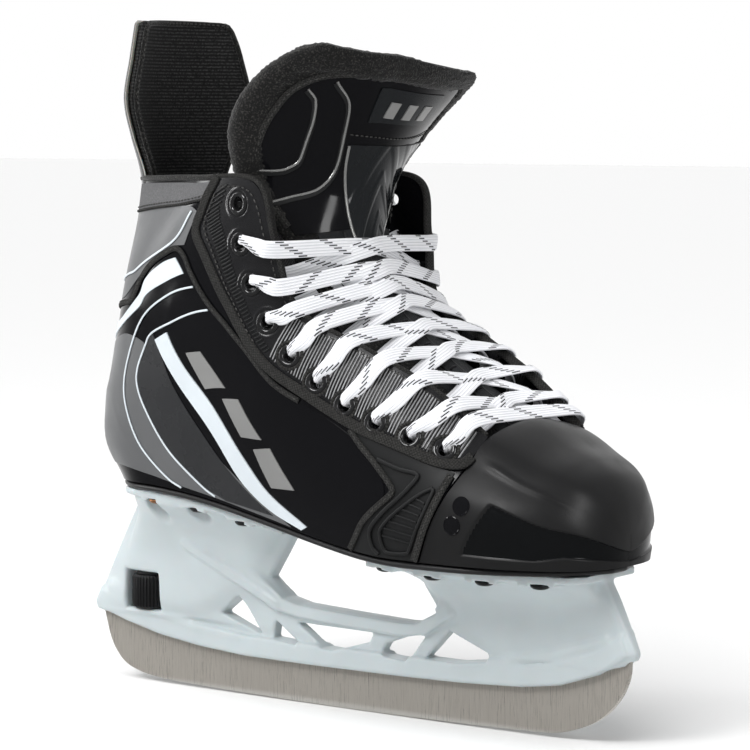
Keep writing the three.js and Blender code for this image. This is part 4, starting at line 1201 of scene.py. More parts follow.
def make_tongue_shield():
    """Glossy shield on the tongue, with silver piping, a smoke window and stitched borders."""
    outline_l = [(5.3, -0.94), (6.4, -0.94), (7.0, -0.9), (7.47, -0.86), (7.95, -0.82),
                 (8.28, -0.7), (8.45, -0.44)]
    outline_r = [(5.3, 0.84), (6.4, 0.88), (7.4, 0.92), (8.1, 0.95), (8.45, 0.96)]

    def relief(s, c):
        rim = np.minimum(0.95 - np.abs(c), 0.1) / 0.1
        return 0.4 * np.sqrt(np.clip(rim, 0, 1))

    shield = tongue_patch("tongue_shield_skin", (5.35, 8.5), outline_l, outline_r, (-0.3, 0.8), GLOSS,
                          120, 80, relief)
    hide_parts("tongue_shield")
    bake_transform(shield)
    for k, places in enumerate((
            [(6.42, -0.93), (6.44, -0.82), (6.5, -0.74), (6.7, -0.65), (7.3, -0.6), (7.75, -0.64),
             (7.97, -0.74)],
            [(5.92, -0.94), (6.0, -0.79), (6.15, -0.55), (6.5, -0.39), (7.08, -0.34), (7.78, -0.38),
             (8.22, -0.58)])):
        tongue_strip(f"tongue_piping_{k + 1}", places, 1.1, 0.9, PIPING, -0.95, 200, 0.45, True)
        under = [(s - 0.04, c) for s, c in places]
        tongue_strip(f"tongue_piping_bed_{k + 1}", under, 2.4, 0.7, SATIN, -0.7, 200, 0.3, True)
    window_l = [(5.0, -0.2), (5.3, -0.28), (6.3, -0.29), (7.0, -0.28)]
    window_r = [(5.0, 0.2), (5.3, 0.34), (6.1, 0.72), (7.0, 0.84)]

    def facets(s, c):
        """Embossed, plain chevron facets of the window."""
        fold = np.abs(c - 0.2) * 3 + (s - 6.0)
        step = smooth(0.2, 0.26, np.mod(fold, 0.8)) - smooth(0.5, 0.56, np.mod(fold, 0.8))
        return 0.3 * step

    window = tongue_patch("tongue_window", (5.0, 7.0), window_l, window_r, (-1.3, -0.4), SMOKE,
                          110, 50, facets)
    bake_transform(window)
    edge = [(6.98, -0.28), (6.3, -0.3), (5.3, -0.29), (5.04, -0.2), (4.98, 0.0), (5.04, 0.2), (5.3, 0.34),
            (6.1, 0.72), (6.98, 0.84)]
    tongue_strip("tongue_window_rim", edge, 1.3, 0.9, PIPING, -1.1, 200, 0.4, True)
    seam = [(7.2, -0.3), (7.15, 0.2), (7.18, 0.6), (7.25, 0.88)]
    path, normal = on_tongue(seam, 120, -1.0)
    thread = add_mesh("tongue_cross_stitch", *stitches(path, normal, 2.6, 1.6), THREAD)
    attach(thread, "tongue_top")
    badge = tongue_patch("tongue_badge", (7.45, 8.2),
                         [(7.45, -0.15), (8.2, -0.12)], [(7.45, 0.7), (8.2, 0.66)],
                         (-1.2, -0.4), SMOKE, 30, 40)
    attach(badge, "tongue_top")
    for k in range(3):
        c = 0.05 + 0.2 * k
        bar = tongue_patch(f"tongue_badge_bar_{k + 1}", (7.56, 7.9), [(7.56, c - 0.05), (7.9, c - 0.01)],
                           [(7.56, c + 0.05), (7.9, c + 0.09)], (-1.7, -0.9), SILVER_PRINT, 14, 10)
        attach(bar, "tongue_top")
    border = [(5.5, -0.95), (6.42, -0.95), (6.95, -0.9), (7.47, -0.86), (7.95, -0.82),
              (8.28, -0.7), (8.45, -0.44),
              (8.53, 0.16), (8.55, 0.7), (8.4, 0.9), (7.9, 0.93), (7.3, 0.9), (6.4, 0.88), (5.5, 0.84)]
    tongue_strip("tongue_border_tape", border, 3.0, 1.0, TAPE, -0.6, 300, 0.4, True)
    path, normal = on_tongue(border, 300, -1.2)
    piece = add_mesh("tongue_border_stitch", *stitches(path, normal, 2.8, 1.7), THREAD)
    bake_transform(piece)


def make_tongue_front():
    """Cloth front of the lower tongue, with its row of ladder vents and sewn channels."""
    left = [(0.3, -0.72), (5.4, -0.72)]
    right = [(0.3, 0.72), (5.4, 0.72)]

    def relief(s, c):
        pads = 0.4 * np.cos(np.clip(np.abs(c) * 2.0, 0, math.pi / 2)) ** 0.5
        seam = np.exp(-((np.abs(c) - 0.42) / 0.03) ** 2)
        return pads - 0.5 * seam

    piece = tongue_patch("tongue_front_cloth", (0.3, 5.4), left, right, (-0.3, 0.6), MESH_CLOTH,
                         160, 60, relief)
    keep(piece, "boot", "felt")
    parts = []
    for k in range(17):
        s = 0.8 + 0.27 * k
        path, normal = on_tongue([(s, -0.34), (s + 0.03, -0.25), (s + 0.03, -0.16)], 10, -0.5)
        parts.append(loft(sweep(path, normal, rounded(1.3, 0.9, 0.4, 3))))
    keep(add_mesh("tongue_ladder", *merged(parts), GLOSS), "boot", "trim_plastic")
    for k, c in enumerate((-0.4, -0.1)):
        path, normal = on_tongue([(0.6, c), (2.5, c), (5.3, c)], 150, -0.5)
        rings = sweep(path, normal, rounded(1.2, 0.8, 0.35))
        keep(add_mesh(f"tongue_rail_{k + 1}", *loft(rings), SATIN), "boot", "trim_plastic")


# ---------------------------------------------------------------- tendon guard
GUARD = [[221, 23, -110, -97], [233.5, 27, -111, -95], [250, 36, -110, -94], [266, 42, -109, -93],
         [284, 37, -107, -94], [300.5, 31, -105, -96]]


def guard(t, c, d):
    """Tendon guard: t up it by rows, c from lateral edge to medial, d forward of its outer face."""
    row = spline(GUARD, t)
    half, mid, edge = row[..., 1], row[..., 2], row[..., 3]
    return np.stack([lerp(mid, edge, c * c) + d, c * half, row[..., 0] + 0 * c], -1)


def guard_slab(name, t_range, reach, depths, corner, material, slot, *nodes):
    """Rounded slab of the guard: its rim curls over from the front face to the back one."""
    t = np.linspace(*t_range, 90)
    rings = []
    top = t_range[1]
    for station in t:
        near_top = min(max((top - station) / 0.12, 0), 1)
        shrink = reach * (1 - 0.06 * (1 - math.sqrt(1 - (1 - near_top) ** 2)))
        c = np.linspace(-1, 1, 40)
        squeeze = lerp(0.4, 1, math.sqrt(1 - (1 - near_top) ** 2))
        middle, half = (depths[0] + depths[1]) / 2, (depths[1] - depths[0]) / 2 * squeeze
        bow = half * (1 - np.abs(c) ** corner) ** (1 / corner)
        front = guard(np.full(40, station), c * shrink, middle + bow)
        back = guard(np.full(38, station), (c * shrink)[1:-1][::-1], (middle - bow)[1:-1][::-1])
        rings.append(np.concatenate([front, back]))
    rings = np.array(rings)
    piece = add_mesh(name, *loft(rings), material, ring_weave(rings), 60)
    if nodes:
        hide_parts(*nodes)
    return piece


def make_tendon_guard():
    outer = guard_slab("tendon_guard_shell", (0.4, 5), 1.0, (0, 2.2), 8, GUARD_PLASTIC, "guard_plastic",
                       "tendon_guard")
    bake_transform(outer)
    cover = guard_slab("tendon_guard_cover", (0.4, 4.97), 0.975, (-0.7, 1.2), 6, GLOSS, "guard_plastic")
    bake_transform(cover)
    pad = guard_slab("tendon_guard_pad", (0.15, 4.985), 0.972, (1.8, 7.4), 5, KNIT, "liner_knit",
                     "tendon_guard_liner")
    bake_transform(pad)
    rim = [(0.7, 0.93), (1.5, 0.93), (2.5, 0.93), (3, 0.93), (3.6, 0.93), (4.5, 0.92),
           (4.86, 0.86), (4.93, 0.6),
           (4.95, 0)]
    rim = rim + [(t, -c) for t, c in rim[-2::-1]]
    tc = line(rim, 320)
    path = guard(tc[:, 0], tc[:, 1], 6.9)
    normal = np.broadcast_to([1.0, 0, 0], path.shape)
    rings = sweep(path, normal, rounded(2.6, 1.6, 0.7))
    tape = add_mesh("tendon_guard_tape", *loft(rings), FELT, ring_weave(rings))
    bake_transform(tape)
    thread = add_mesh("tendon_guard_stitch", *stitches(path + [0.75, 0, 0], normal, 2.4, 1.4), THREAD)
    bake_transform(thread)


# ---------------------------------------------------------------- blade holder
MEETING = [[-142.5, 32], [-126, 27.2], [-106, 22.8], [-84, 19.9], [-57, 18], [-23, 17.7],
           [32, 18], [63, 18.7], [92, 20.2], [111, 23], [130, 29.4], [143.5, 37]]
HOLDER_SIDE = [
    *MEETING[:-1], [144.5, 39], [132.5, 68], [130, 74], [36, 74], [41, 62], [50, 47.5],
    [38, 42], [31, 41.5], [4, 42.5], [-25, 44], [-34, 46], [-44, 54.5], [-28, 80], [-24, 90],
    [-115.5, 93], [-119, 84], [-143.5, 35]]
WINDOWS = [
    [[-60, 44], [-69.5, 36.3], [-48.6, 29]],
    [[-39.5, 34.5], [-40.5, 28], [-27.6, 26.2]],
    [[-26.5, 35.2], [-20, 31], [-13, 26.3], [-7, 26], [11.5, 31.3], [13.2, 34.6]],
    [[19.5, 28], [21, 26.3], [32.5, 25.4], [41, 36.5], [31, 34.5], [21.5, 31]],
    [[43, 27.4], [58, 27.4], [74.5, 29.6], [74, 32], [63, 36], [54.5, 39.3]],
]
REAR_TOWER = [[33, -140, -76, 5.2], [38, -138, -72, 7.4], [50, -132, -52, 8.4],
              [62, -125.5, -42, 10.5], [72, -120.5, -35, 14.5], [79, -117, -31, 20],
              [84, -115.5, -25, 26], [87, -115.5, -20, 28.5], [93, -115.5, -16, 28.5]]
FRONT_TOWER = [[34, 84, 142, 5.2], [42, 66, 140, 6.4], [50, 55, 137, 8.4], [57, 46, 134, 12],
               [62, 42, 132, 18], [66, 38, 130, 27], [69, 34, 129, 33], [76, 30, 128.5, 33]]
RIVETS = [[-91.5, 22], [-66, 24], [-40, 24.5], [38, 26], [64, 28], [90, 28], [114, 23]]
DIAL_X, DIAL_Z0, DIAL_Z1, DIAL_R, DIAL_BORE = -114.3, 34.5, 49.5, 9.3, 3.3
RUNNER_HALF, RUNNER_REST = 1.5, 6
RIVET_FLANGE, RIVET_SEAT = 4, 5.2
VOXEL = 0.8


def outline_distance(points, x, z):
    """Signed distance to a closed outline in the X-Z plane, negative inside."""
    a = np.asarray(points, float)
    b = np.roll(a, -1, 0)
    best = np.full(x.shape, 1e9)
    inside = np.zeros(x.shape, bool)
    for (ax, az), (bx, bz) in zip(a, b):
        ex, ez = bx - ax, bz - az
        t = np.clip(((x - ax) * ex + (z - az) * ez) / (ex * ex + ez * ez), 0, 1)
        best = np.minimum(best, np.hypot(x - ax - t * ex, z - az - t * ez))
        crosses = (az > z) != (bz > z)
        with np.errstate(divide="ignore", invalid="ignore"):
            inside ^= crosses & (x < ax + (z - az) * ex / (ez if ez else 1e-9))
    return np.where(inside, -best, best)


def soft_union(a, b, radius):
    h = np.clip(0.5 + 0.5 * (b - a) / radius, 0, 1)
    return b + (a - b) * h - radius * h * (1 - h)


def soft_cut(a, hole, radius):
    return -soft_union(-a, hole, radius)


def plate(flat, y, half, corner=1.5):
    """A flat outline's distance given thickness, with rounded edges."""
    dx, dy = flat + corner, np.abs(y) - half + corner
    outside = np.hypot(np.maximum(dx, 0), np.maximum(dy, 0))
    return np.minimum(np.maximum(dx, dy), 0) + outside - corner


def under_sole(x, y, inset):
    """Distance outside the sole's outline, seen from above."""
    t = np.linspace(0, 1, 160)
    outer, inner = sole_edge(-1, t, inset), sole_edge(1, t, inset)
    low = np.interp(x, outer[:, 0], outer[:, 1], left=-8, right=-8)
    high = np.interp(x, inner[:, 0], inner[:, 1], left=8, right=8)
    return np.maximum(np.minimum(low, -8.5) - y, y - np.maximum(high, 8.5))


def tower(rows, narrow, x, y, z):
    samples = spline(rows, np.linspace(0, len(rows) - 1, 200))
    level = np.maximum.accumulate(samples[:, 0])
    x0, x1, half = (np.interp(z, level, samples[:, k]) for k in (1, 2, 3))
    middle, reach = (x0 + x1) / 2, (x1 - x0) / 2
    k = np.clip((x - middle) / reach, -1.6, 1.6)
    half = half * lerp(1, np.interp(z, [45, 74], narrow), np.clip((k + 1) / 2, 0, 1))
    power = np.interp(z, [66, 80], [3.2, 2.5])
    field = (np.abs(k) ** power + np.abs(y / half) ** power) ** (1 / power) - 1
    field = field * np.minimum(half, reach) * 0.8
    return np.maximum(field, level[0] - z)


def beam(points, width, x, z):
    """Signed distance to a band of the given width along a line in the X-Z plane."""
    best = np.full(x.shape, 1e9)
    for (ax, az), (bx, bz) in zip(points[:-1], points[1:]):
        ex, ez = bx - ax, bz - az
        t = np.clip(((x - ax) * ex + (z - az) * ez) / (ex * ex + ez * ez), 0, 1)
        best = np.minimum(best, np.hypot(x - ax - t * ex, z - az - t * ez))
    return best - width / 2


def holder_field(x, y, z):
    xs, zs = np.broadcast_arrays(x[:, :1, :], z[:, :1, :])
    side = outline_distance(HOLDER_SIDE, xs, zs)
    rail_line = [[a, b + 4.6] for a, b in MEETING]
    bridge_line = [[-62, 60], [-48, 51.5], [-34, 43], [-25, 41.4], [4, 39.8], [32, 38.8], [42, 40], [54, 49]]
    rear_rib = [[-84, 66.5], [-66, 57.5], [-50, 49], [-38, 42.5]]
    lower_sweep = [[-134, 42], [-112, 34], [-86, 28.5], [-60, 26]]
    front_sweep = [[58, 27], [84, 30], [110, 36], [134, 44]]
    field = plate(side, y, 2.8, 1.0)
    for points, width, half in ((rail_line, 9.4, 5.4), (bridge_line, 6.0, 6.2), (lower_sweep, 3.2, 5.2),
                                (front_sweep, 3.2, 5.2)):
        band = np.maximum(beam(points, width, xs, zs), side)
        field = soft_union(field, plate(band, y, half, 1.2), 1.6)
    for rows, narrow in ((REAR_TOWER, [1, 1]), (FRONT_TOWER, [0.45, 0.8])):
        pedestal = np.maximum(tower(rows, narrow, x, y, z), under_sole(x, y, 1.5))
        field = soft_union(field, pedestal, 4)
    rib = np.maximum(beam(rear_rib, 3.4, xs, zs), side)
    swell = np.interp(zs, [42, 56, 66], [6.6, 9.8, 12.5])
    field = soft_union(field, np.maximum(rib, np.abs(y) - swell) + 0.4, 3)
    flange = np.maximum(flange_field(x, y, z), under_sole(x, y, 1.0))
    field = soft_union(field, flange, 1.6)
    for window in WINDOWS:
        field = soft_cut(field, outline_distance(window, xs, zs) - 0.5 + 0.0 * y, 0.8)
    field = np.maximum(field, z - (sole_z(x) - GAP))
    slot_top = np.interp(x, *np.transpose([[a * 0.985, b + RUNNER_REST + GAP] for a, b in MEETING[1:-1]]))
    slot = np.maximum(np.abs(y) - RUNNER_HALF - GAP, z - slot_top)
    window = np.maximum(np.abs(x - DIAL_X) - DIAL_R - 0.8, np.abs(z - 42.65) - 8.65)
    field = soft_cut(field, slot, 0.5)
    field = soft_cut(field, window, 1.6)
    bore = np.maximum(np.hypot(x - DIAL_X, y) - DIAL_BORE, z - 66)
    field = np.maximum(field, -bore)
    for tab in (REAR_TAB, FRONT_TAB):
        room = np.maximum(np.abs(x - (tab[0] + tab[1]) / 2) - 6 - GAP, z - tab[2] - GAP)
        field = np.maximum(field, -np.maximum(room, np.abs(y) - RUNNER_HALF - GAP))
    for rivet_x, rivet_y in RIVETS:
        seat = sole_z(rivet_x) - RIVET_FLANGE
        gap = np.hypot(x - rivet_x, np.abs(y) - rivet_y)
        pocket = np.maximum(gap - RIVET_SEAT, np.maximum(z - seat, seat - 16 - z))
        field = soft_cut(field, pocket, 1.0)
        field = np.maximum(field, -np.maximum(gap - 2.3, seat - 2 - z))
    return field


REAR_TAB = [DIAL_X - 6, DIAL_X + 6, 33.4]
FRONT_TAB = [112, 124, 43]


def flange_field(x, y, z):
    """Flanges under the sole, thicker in pads where the rivets sit."""
    rear = np.maximum(np.abs(x + 65) - 49.5,
                      np.abs(y) - np.interp(x, [-118, -104, -60, -16], [17, 25, 29.5, 29]))
    front = np.maximum(np.abs(x - 81.5) - 51,
                       np.abs(y) - np.interp(x, [30, 60, 96, 132], [31, 33.5, 32, 22]))
    flat = np.minimum(rear, front)
    pads = 1e9 * np.ones_like(flat)
    for rivet_x, _ in RIVETS:
        pads = np.minimum(pads, np.abs(x - rivet_x) - 7.5)
    thick = np.where(pads < 0, 4.6, 3.0)
    under = sole_z(x) - GAP - z
    return np.maximum(flat, np.maximum(under - thick, -under - 2))


def surface_nets(field, corner, step):
    """Closed surface where a sampled field changes sign: one point in each cell that it crosses."""
    nx, ny, nz = (n - 1 for n in field.shape)
    total = np.zeros((nx, ny, nz, 3), np.float32)
    count = np.zeros((nx, ny, nz), np.float32)
    inside = field < 0
    corners = [(i, j, k) for i in (0, 1) for j in (0, 1) for k in (0, 1)]
    for a in corners:
        for axis in range(3):
            if a[axis]:
                continue
            b = tuple(c + (n == axis) for n, c in enumerate(a))
            fa = field[a[0]:a[0] + nx, a[1]:a[1] + ny, a[2]:a[2] + nz]
            fb = field[b[0]:b[0] + nx, b[1]:b[1] + ny, b[2]:b[2] + nz]
            crossed = (fa < 0) != (fb < 0)
            t = np.where(crossed, fa / np.where(crossed, fa - fb, 1), 0)
            for n in range(3):
                total[..., n] += crossed * (a[n] + (t if n == axis else 0))
            count += crossed
    used = count > 0
    ids = np.full(count.shape, -1)
    ids[used] = np.arange(used.sum())
    cell = np.argwhere(used)
    points = np.asarray(corner) + step * (cell + total[used] / count[used][:, None])
    faces = []
    for axis in range(3):
        low = [slice(1, -1)] * 3
        low[axis] = slice(0, -1)
        high = list(low)
        high[axis] = slice(1, None)
        a, b = inside[tuple(low)], inside[tuple(high)]
        u, v = [n for n in range(3) if n != axis]
        for change, flip in ((a & ~b, False), (~a & b, True)):
            at = np.argwhere(change)
            at[:, u] += 1
            at[:, v] += 1
            four = []
            for du, dv in ((-1, -1), (0, -1), (0, 0), (-1, 0)):
                place = at.copy()
                place[:, u] += du
                place[:, v] += dv
                four.append(ids[tuple(place.T)])
            quad = np.stack(four[::-1] if flip else four, 1)
            faces.append(quad[(quad >= 0).all(1)])
    return points, np.concatenate(faces)


RELAX_PULL, RELAX_PUSH = 0.5, 0.53


def relax(points, faces, rounds):
    """Evens a dense surface out without shrinking it: smooths, then pushes most of the loss back."""
    edges = np.concatenate([faces[:, [k, (k + 1) % 4]] for k in range(4)])
    weight = np.bincount(edges.ravel(), minlength=len(points))[:, None]

    def mean(p):
        total = np.stack([np.bincount(edges[:, 0], p[edges[:, 1], n], len(p))
                          + np.bincount(edges[:, 1], p[edges[:, 0], n], len(p)) for n in range(3)], 1)
        return total / weight

    for _ in range(rounds):
        points = points + RELAX_PULL * (mean(points) - points)
        points = points - RELAX_PUSH * (mean(points) - points)
    return points


def make_holder():
    corner = np.array([-150.0, -36.0, 14.0])
    size = (300, 72, 84)
    axes = [corner[n] + VOXEL * np.arange(int(size[n] / VOXEL) + 1) for n in range(3)]
    x, y, z = (a.astype(np.float32) for a in np.meshgrid(*axes, indexing="ij"))
    points, faces = surface_nets(holder_field(x, y, z), corner, VOXEL)
    points = relax(points, faces, 2)
    piece = add_mesh("blade_holder", points, faces, HOLDER_PLASTIC, None, 62)
    keep(piece, "boot", "holder", "holder")


# ---------------------------------------------------------------- runner, dial and fasteners
ROCKER_R, FLAT_HALF = 3300, 6
RUNNER_REAR = [[-142.5, 32], [-138.5, 18.5], [-134, 11], [-128, 6.2], [-118, 3.2], [-106, 1.75]]
RUNNER_FRONT = [[100, 1.55], [110, 2.584], [122, 6.4], [131, 11.6], [138.5, 19.5],
                [142.6, 28], [143.5, 37]]


def make_runner():
    """Steel runner: rockered edge with a ground hollow, bevelled corners, and its two hidden tabs."""
    rear, front = line(RUNNER_REAR, 70), line(RUNNER_FRONT, 70)
    middle = np.linspace(-100, 94, 120)
    rocker = np.maximum(middle ** 2 - FLAT_HALF ** 2, 0) / (2 * ROCKER_R)
    bottom = np.concatenate([rear, np.stack([middle, rocker], 1), front])
    top = [[-142.5, 32.6]] + [[a * 0.985, b + RUNNER_REST] for a, b in MEETING[1:-1]] + [[143.5, 37.6]]
    top_z = np.interp(bottom[:, 0], *np.transpose(top))
    rings = []
    for (x, low), high in zip(bottom, top_z):
        h = max(high, low + 0.5)
        rings.append([(x, -1.5, h - 0.2), (x, -1.5, low + 0.25), (x, -1.3, low),
                      (x, 0, low + 0.12), (x, 1.3, low),
                      (x, 1.5, low + 0.25), (x, 1.5, h - 0.2), (x, 1.3, h), (x, -1.3, h)])
    parts = [loft(np.array(rings))]
    for x0, x1, z in (REAR_TAB, FRONT_TAB):
        block = np.array([[(x, y, h) for y, h in ((-1.45, 24), (1.45, 24), (1.45, z - 0.6), (1.1, z),
                                                  (-1.1, z), (-1.45, z - 0.6))] for x in (x0, x0 + 0.5, x1 - 0.5, x1)])
        parts.append(loft(block))
    piece = add_mesh("runner_steel", *merged(parts), STEEL, None, 30)
    keep(piece, "runner", "steel", "runner")
    stud_top = 60
    levels = np.arange(REAR_TAB[2] + GAP, stud_top, 0.25)
    turn = np.linspace(0, 2 * math.pi, 32, endpoint=False)
    rings = []
    for z in levels:
        thread = 0.22 * np.cos(2 * math.pi * z / 1.0 - turn) * (z > 38)
        taper = min((stud_top - z) / 1.0, 1)
        rings.append(np.stack([DIAL_X + (2.35 + thread) * np.cos(turn) * (0.7 + 0.3 * taper),
                               (2.35 + thread) * np.sin(turn) * (0.7 + 0.3 * taper), z + 0 * turn], 1))
    stud = add_mesh("runner_stud_thread", *loft(np.array(rings)), BLACK_METAL)
    keep(stud, "runner", "black_metal", "runner_stud")


def make_dial():
    """Knurled lock dial and its washer."""
    count = 360
    turn = np.linspace(0, 2 * math.pi, count, endpoint=False)
    knurl = 0.45 * np.clip(np.cos(turn * 36) * 1.6, -1, 1)
    high = DIAL_Z1 - DIAL_Z0
    profile = [(DIAL_BORE, 0.0, 0), (7.9, 0.0, 0), (8.5, 0.5, 0.6), (8.8, 1.2, 1), (8.8, high - 1.4, 1),
               (8.5, high - 0.6, 0.6), (7.8, high, 0), (6.4, high, 0), (6.0, high - 0.5, 0),
               (DIAL_BORE, high - 0.5, 0)]
    rings = np.array([[((r + k * knurl[i]) * math.cos(t), (r + k * knurl[i]) * math.sin(t), h)
                       for r, h, k in profile] for i, t in enumerate(turn)])
    index = np.arange(count * len(profile)).reshape(count, -1)
    index = np.vstack([index, index[:1]])
    index = np.hstack([index, index[:, :1]])
    points = rings.reshape(-1, 3) + [DIAL_X, 0, DIAL_Z0]
    keep(add_mesh("lock_dial_knurled", points, quads(index), DIAL_BLACK), "lock", "dial", "lock_dial")
    washer = [(DIAL_BORE, 0), (6.8, 0), (7, 0.2), (7, 0.9), (6.8, 1.1), (DIAL_BORE, 1.1)]
    points, faces = turned(washer)
    points = points + [DIAL_X, 0, DIAL_Z1 + GAP]
    keep(add_mesh("lock_washer_turned", points, faces, BLACK_METAL), "boot", "black_metal", "lock_washer")


def make_rivets(name, side):
    for k, (x, y) in enumerate(RIVETS):
        seat = sole_z(x) - RIVET_FLANGE - GAP
        profile = [(0.05, seat + 6.6), (2, seat + 6.6), (2, seat), (4.2, seat), (4.3, seat - 0.35),
                   (4.0, seat - 0.9), (3.2, seat - 1.55), (2.1, seat - 1.9), (1.5, seat - 1.95),
                   (1.2, seat - 1.6), (0.05, seat - 1.5)]
        points, faces = turned(profile, 40)
        points = points + [x, side * y, 0]
        piece = add_mesh(f"rivet_head_{name}_{k + 1}", points, faces, RIVET_BLACK if k else COPPER)
        keep(piece, "boot", "rivet" if k else "copper", f"rivet_{name}_{k + 1}")


# ---------------------------------------------------------------- lace
LACE_WIDTH, LACE_THICK = 7.4, 1.1
LACE_TAIL = [[-44, 27, 118], [-42, 29, 140], [-38, 31, 165], [-27, 33, 190]]


def nearest(point, target, low, high):
    """The value between low and high whose point lies nearest to a target."""
    values = np.linspace(low, high, 400)
    return float(values[np.argmin(np.linalg.norm(point(values) - target, axis=-1))])


EDGE_U = [nearest(lambda t: boot(-1, t, TOP_V), boot(-1, *uv), 0, FACING_U) for uv in EYELET_UV]


def edge_way(side, u, v):
    """Unit direction over the boot from the eyelets towards the facing's free edge."""
    return normalized(boot(side, u, v + 0.03) - boot(side, u, v - 0.03))


def lace_run(side, k, sign):
    """One run: out of eyelet k, over the tongue and under the other facing to the next eyelet.
    Each stop is a place, the ribbon's up direction, how far it is folded, and its width."""
    u, v = EYELET_UV[k]
    next_u, next_v = EYELET_UV[k + 1]
    leave = lerp(EDGE_U[k], EDGE_U[k + 1], 0.36)
    enter = lerp(EDGE_U[k], EDGE_U[k + 1], 0.92)
    up, way = boot_normal(side, u, v), edge_way(side, u, v)
    middle = boot(-1, lerp(leave, enter, 0.5), TOP_V)
    flat = lambda t: tongue(t, 0 * t) * [1, 0, 1]
    s = nearest(flat, middle * [1, 0, 1], 0, TONGUE_BEND)
    over = 3.6 if side > 0 else 1.9
    half_u, half_v = lerp(u, leave, 0.5), lerp(v, TOP_V, 0.5)
    far = -side
    far_up = boot_normal(far, enter, 3.8)
    cross_up = normalized(tongue_normal(np.array(s), np.array(0.0)))
    stops = [
        (boot_at(side, u, v, SHELL_T + 2.5), -way, 1.0, 0.62),
        (boot_at(side, u, v, 0.2), -way, 1.0, 0.62),
        (boot_at(side, u, v, -2.3) + way * 1.4, up - way, 0.62, 0.8),
        (boot_at(side, half_u, half_v, -2.9), up, 0.15, 1.0),
        (boot_at(side, leave, TOP_V, -2.3) + way * 1.0, up, 0.08, 1.0),
        (tongue(s + 0.06, side * 0.3, -over), cross_up, 0.0, 1.0),
        (tongue(s - 0.04, -side * 0.25, -over + 0.4), cross_up, 0.0, 1.0),
        (boot_at(far, enter, TOP_V, 2.2) + [0, side * 9, 0], normalized(far_up + cross_up), 0.05, 0.98),
        (boot_at(far, lerp(next_u, enter, 0.55), lerp(next_v, TOP_V, 0.6), SHELL_T + 1.3), far_up, 0.1, 0.9),
        (boot_at(far, next_u, next_v, SHELL_T + 2.3) + edge_way(far, next_u, next_v) * 1.5,
         edge_way(far, next_u, next_v) + boot_normal(far, next_u, next_v), 0.7, 0.7),
    ]
    return [(p, sign * normalized(d), sign * fold, width) for p, d, fold, width in stops]


def lace_stops():
    last = len(EYELETS) - 1

    def half(side):
        stops, sign = [], 1
        for k in range(1, last):
            stops += lace_run(side, k, sign)
            side, sign = -side, -sign
        return stops, side, sign

    def bar(side, sign):
        u, v = EYELET_UV[last]
        way, up = edge_way(side, u, v), boot_normal(side, u, v)
        edge = EDGE_U[last]
        stops = [(boot_at(side, u, v, SHELL_T + 2.5), -way, 1.0, 0.62),
                 (boot_at(side, u, v, 0.0), -way, 1.0, 0.62),
                 (boot_at(side, u, v, -2.4) + way * 1.2, up - way, 0.9, 0.7),
                 (boot_at(side, lerp(u, edge, 0.5), 3.5, -3.2), up, 0.3, 0.95),
                 (boot_at(side, edge, TOP_V, -3.0) + way * 1.0, up, 0.05, 1.0)]
        return [(p, sign * normalized(d), sign * fold, width) for p, d, fold, width in stops]

    def tail(side):
        up = np.array([0.0, side, 0.0])
        return [(np.array([x, side * y, z], float), up, 0.0, 0.9) for x, y, z in LACE_TAIL]

    a, a_side, a_sign = half(1)
    b, b_side, b_sign = half(-1)
    middle_up = tongue_normal(np.array(0.75), np.array(0.0)) * a_sign
    centre = [(tongue(0.75, 0.0, -5.0), middle_up, 0.0, 1.0)]
    other = [(p, d * a_sign * b_sign, f * a_sign * b_sign, w) for p, d, f, w in bar(b_side, b_sign)]
    second = [(p, d * a_sign * b_sign, f * a_sign * b_sign, w) for p, d, f, w in b]
    return (tail(1) + a + bar(a_side, a_sign) + centre + other[::-1] + second[::-1] + tail(-1)[::-1])


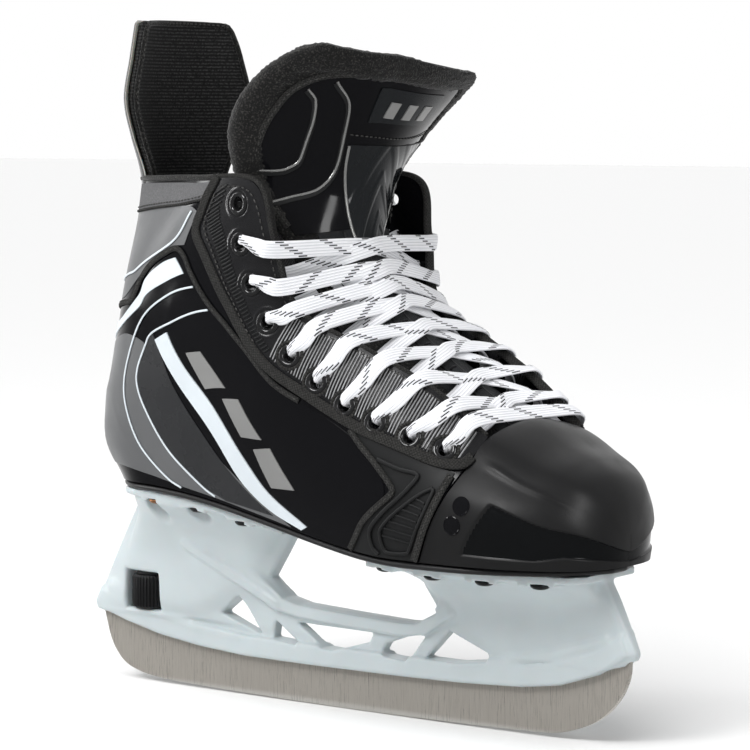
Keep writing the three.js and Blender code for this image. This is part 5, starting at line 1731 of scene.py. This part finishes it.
def make_lace():
    """The whole lace as one flat braid, folded where it passes through an eyelet."""
    stops = lace_stops()
    places = np.array([s[0] for s in stops])
    ups = np.array([s[1] for s in stops])
    facts = np.array([s[2:] for s in stops], float)
    chord = np.sqrt(np.linalg.norm(np.diff(places, axis=0), axis=1))
    knots = np.concatenate([[0], np.cumsum(chord)])
    t = np.linspace(0, knots[-1], 2600)
    at = np.interp(t, knots, np.arange(len(knots)))
    path = spline(places, at)
    for _ in range(6):
        path[1:-1] = (path[:-2] + 2 * path[1:-1] + path[2:]) / 4
    up = normalized(spline(ups, at))
    fold, width = (np.interp(at, np.arange(len(stops)), facts[:, n]) for n in range(2))
    base = rounded(LACE_WIDTH, LACE_THICK, 0.5, 4)
    spots = np.linspace(-0.5, 0.5, 9)[1:-1] * (LACE_WIDTH - 1.2)
    top = [(x, LACE_THICK / 2) for x in spots[::-1]]
    low = [(x, -LACE_THICK / 2) for x in spots]
    section = np.array([*base[:4], *top, *base[4:12], *low, *base[12:]])
    bend = fold[:, None] * 1.35
    reach = section[None, :, 0] * width[:, None]
    radius = LACE_WIDTH * 0.62 / 2 / np.maximum(np.abs(bend), 1e-3) * np.sign(bend + 1e-9)
    angle = np.clip(reach / radius, -2.6, 2.6)
    curved = np.abs(bend) > 0.02
    across = np.where(curved, radius * np.sin(angle), reach)
    sink = np.where(curved, radius * (1 - np.cos(angle)), 0)
    x = across + np.where(curved, -section[None, :, 1] * np.sin(angle), 0)
    y = section[None, :, 1] * np.where(curved, np.cos(angle), 1) - sink
    rings = sweep(path, up, np.stack([x, y], -1))
    run = lengths(path)
    weave = np.stack([np.broadcast_to(run[:, None], x.shape),
                      np.broadcast_to(section[None, :, 0], x.shape)], -1).reshape(-1, 2)
    piece = add_mesh("lace_braid", *loft(rings), LACE, weave, 60)
    keep(piece, "boot", "lace", "lace")
    return run[-1]


# ---------------------------------------------------------------- assembly
def make_boot():
    for name, side in SIDES:
        make_quarter(name, side)
        make_facing(name, side)
        make_riblets(name, side)
        make_rims(name, side)
        make_collar_band(name, side)
        make_heel_graphics(name, side)
        make_vamp(name, side)
        make_seams(name, side)
        make_eyelets(name, side)
        make_ankle_pad(name, side)
        make_rivets(name, side)
    make_sole_plate("outsole_layer", 0.9, 0, SOLE_T - GAP, SOLE, "sole_composite", "outsole")
    make_sole_plate("insole_board_layer", 7, SOLE_T + GAP, 2.6, BOARD, "board", "insole_board")
    make_sole_plate("footbed_layer", 8, SOLE_T + 2.6 + 3 * GAP, 4, FOOTBED, "footbed_foam", "footbed", 2.0)


make_boot()
make_toe_cap()
make_tongue_felt()
make_tongue_front()
make_tongue_shield()
make_tendon_guard()
make_holder()
make_runner()
make_dial()
make_lace()
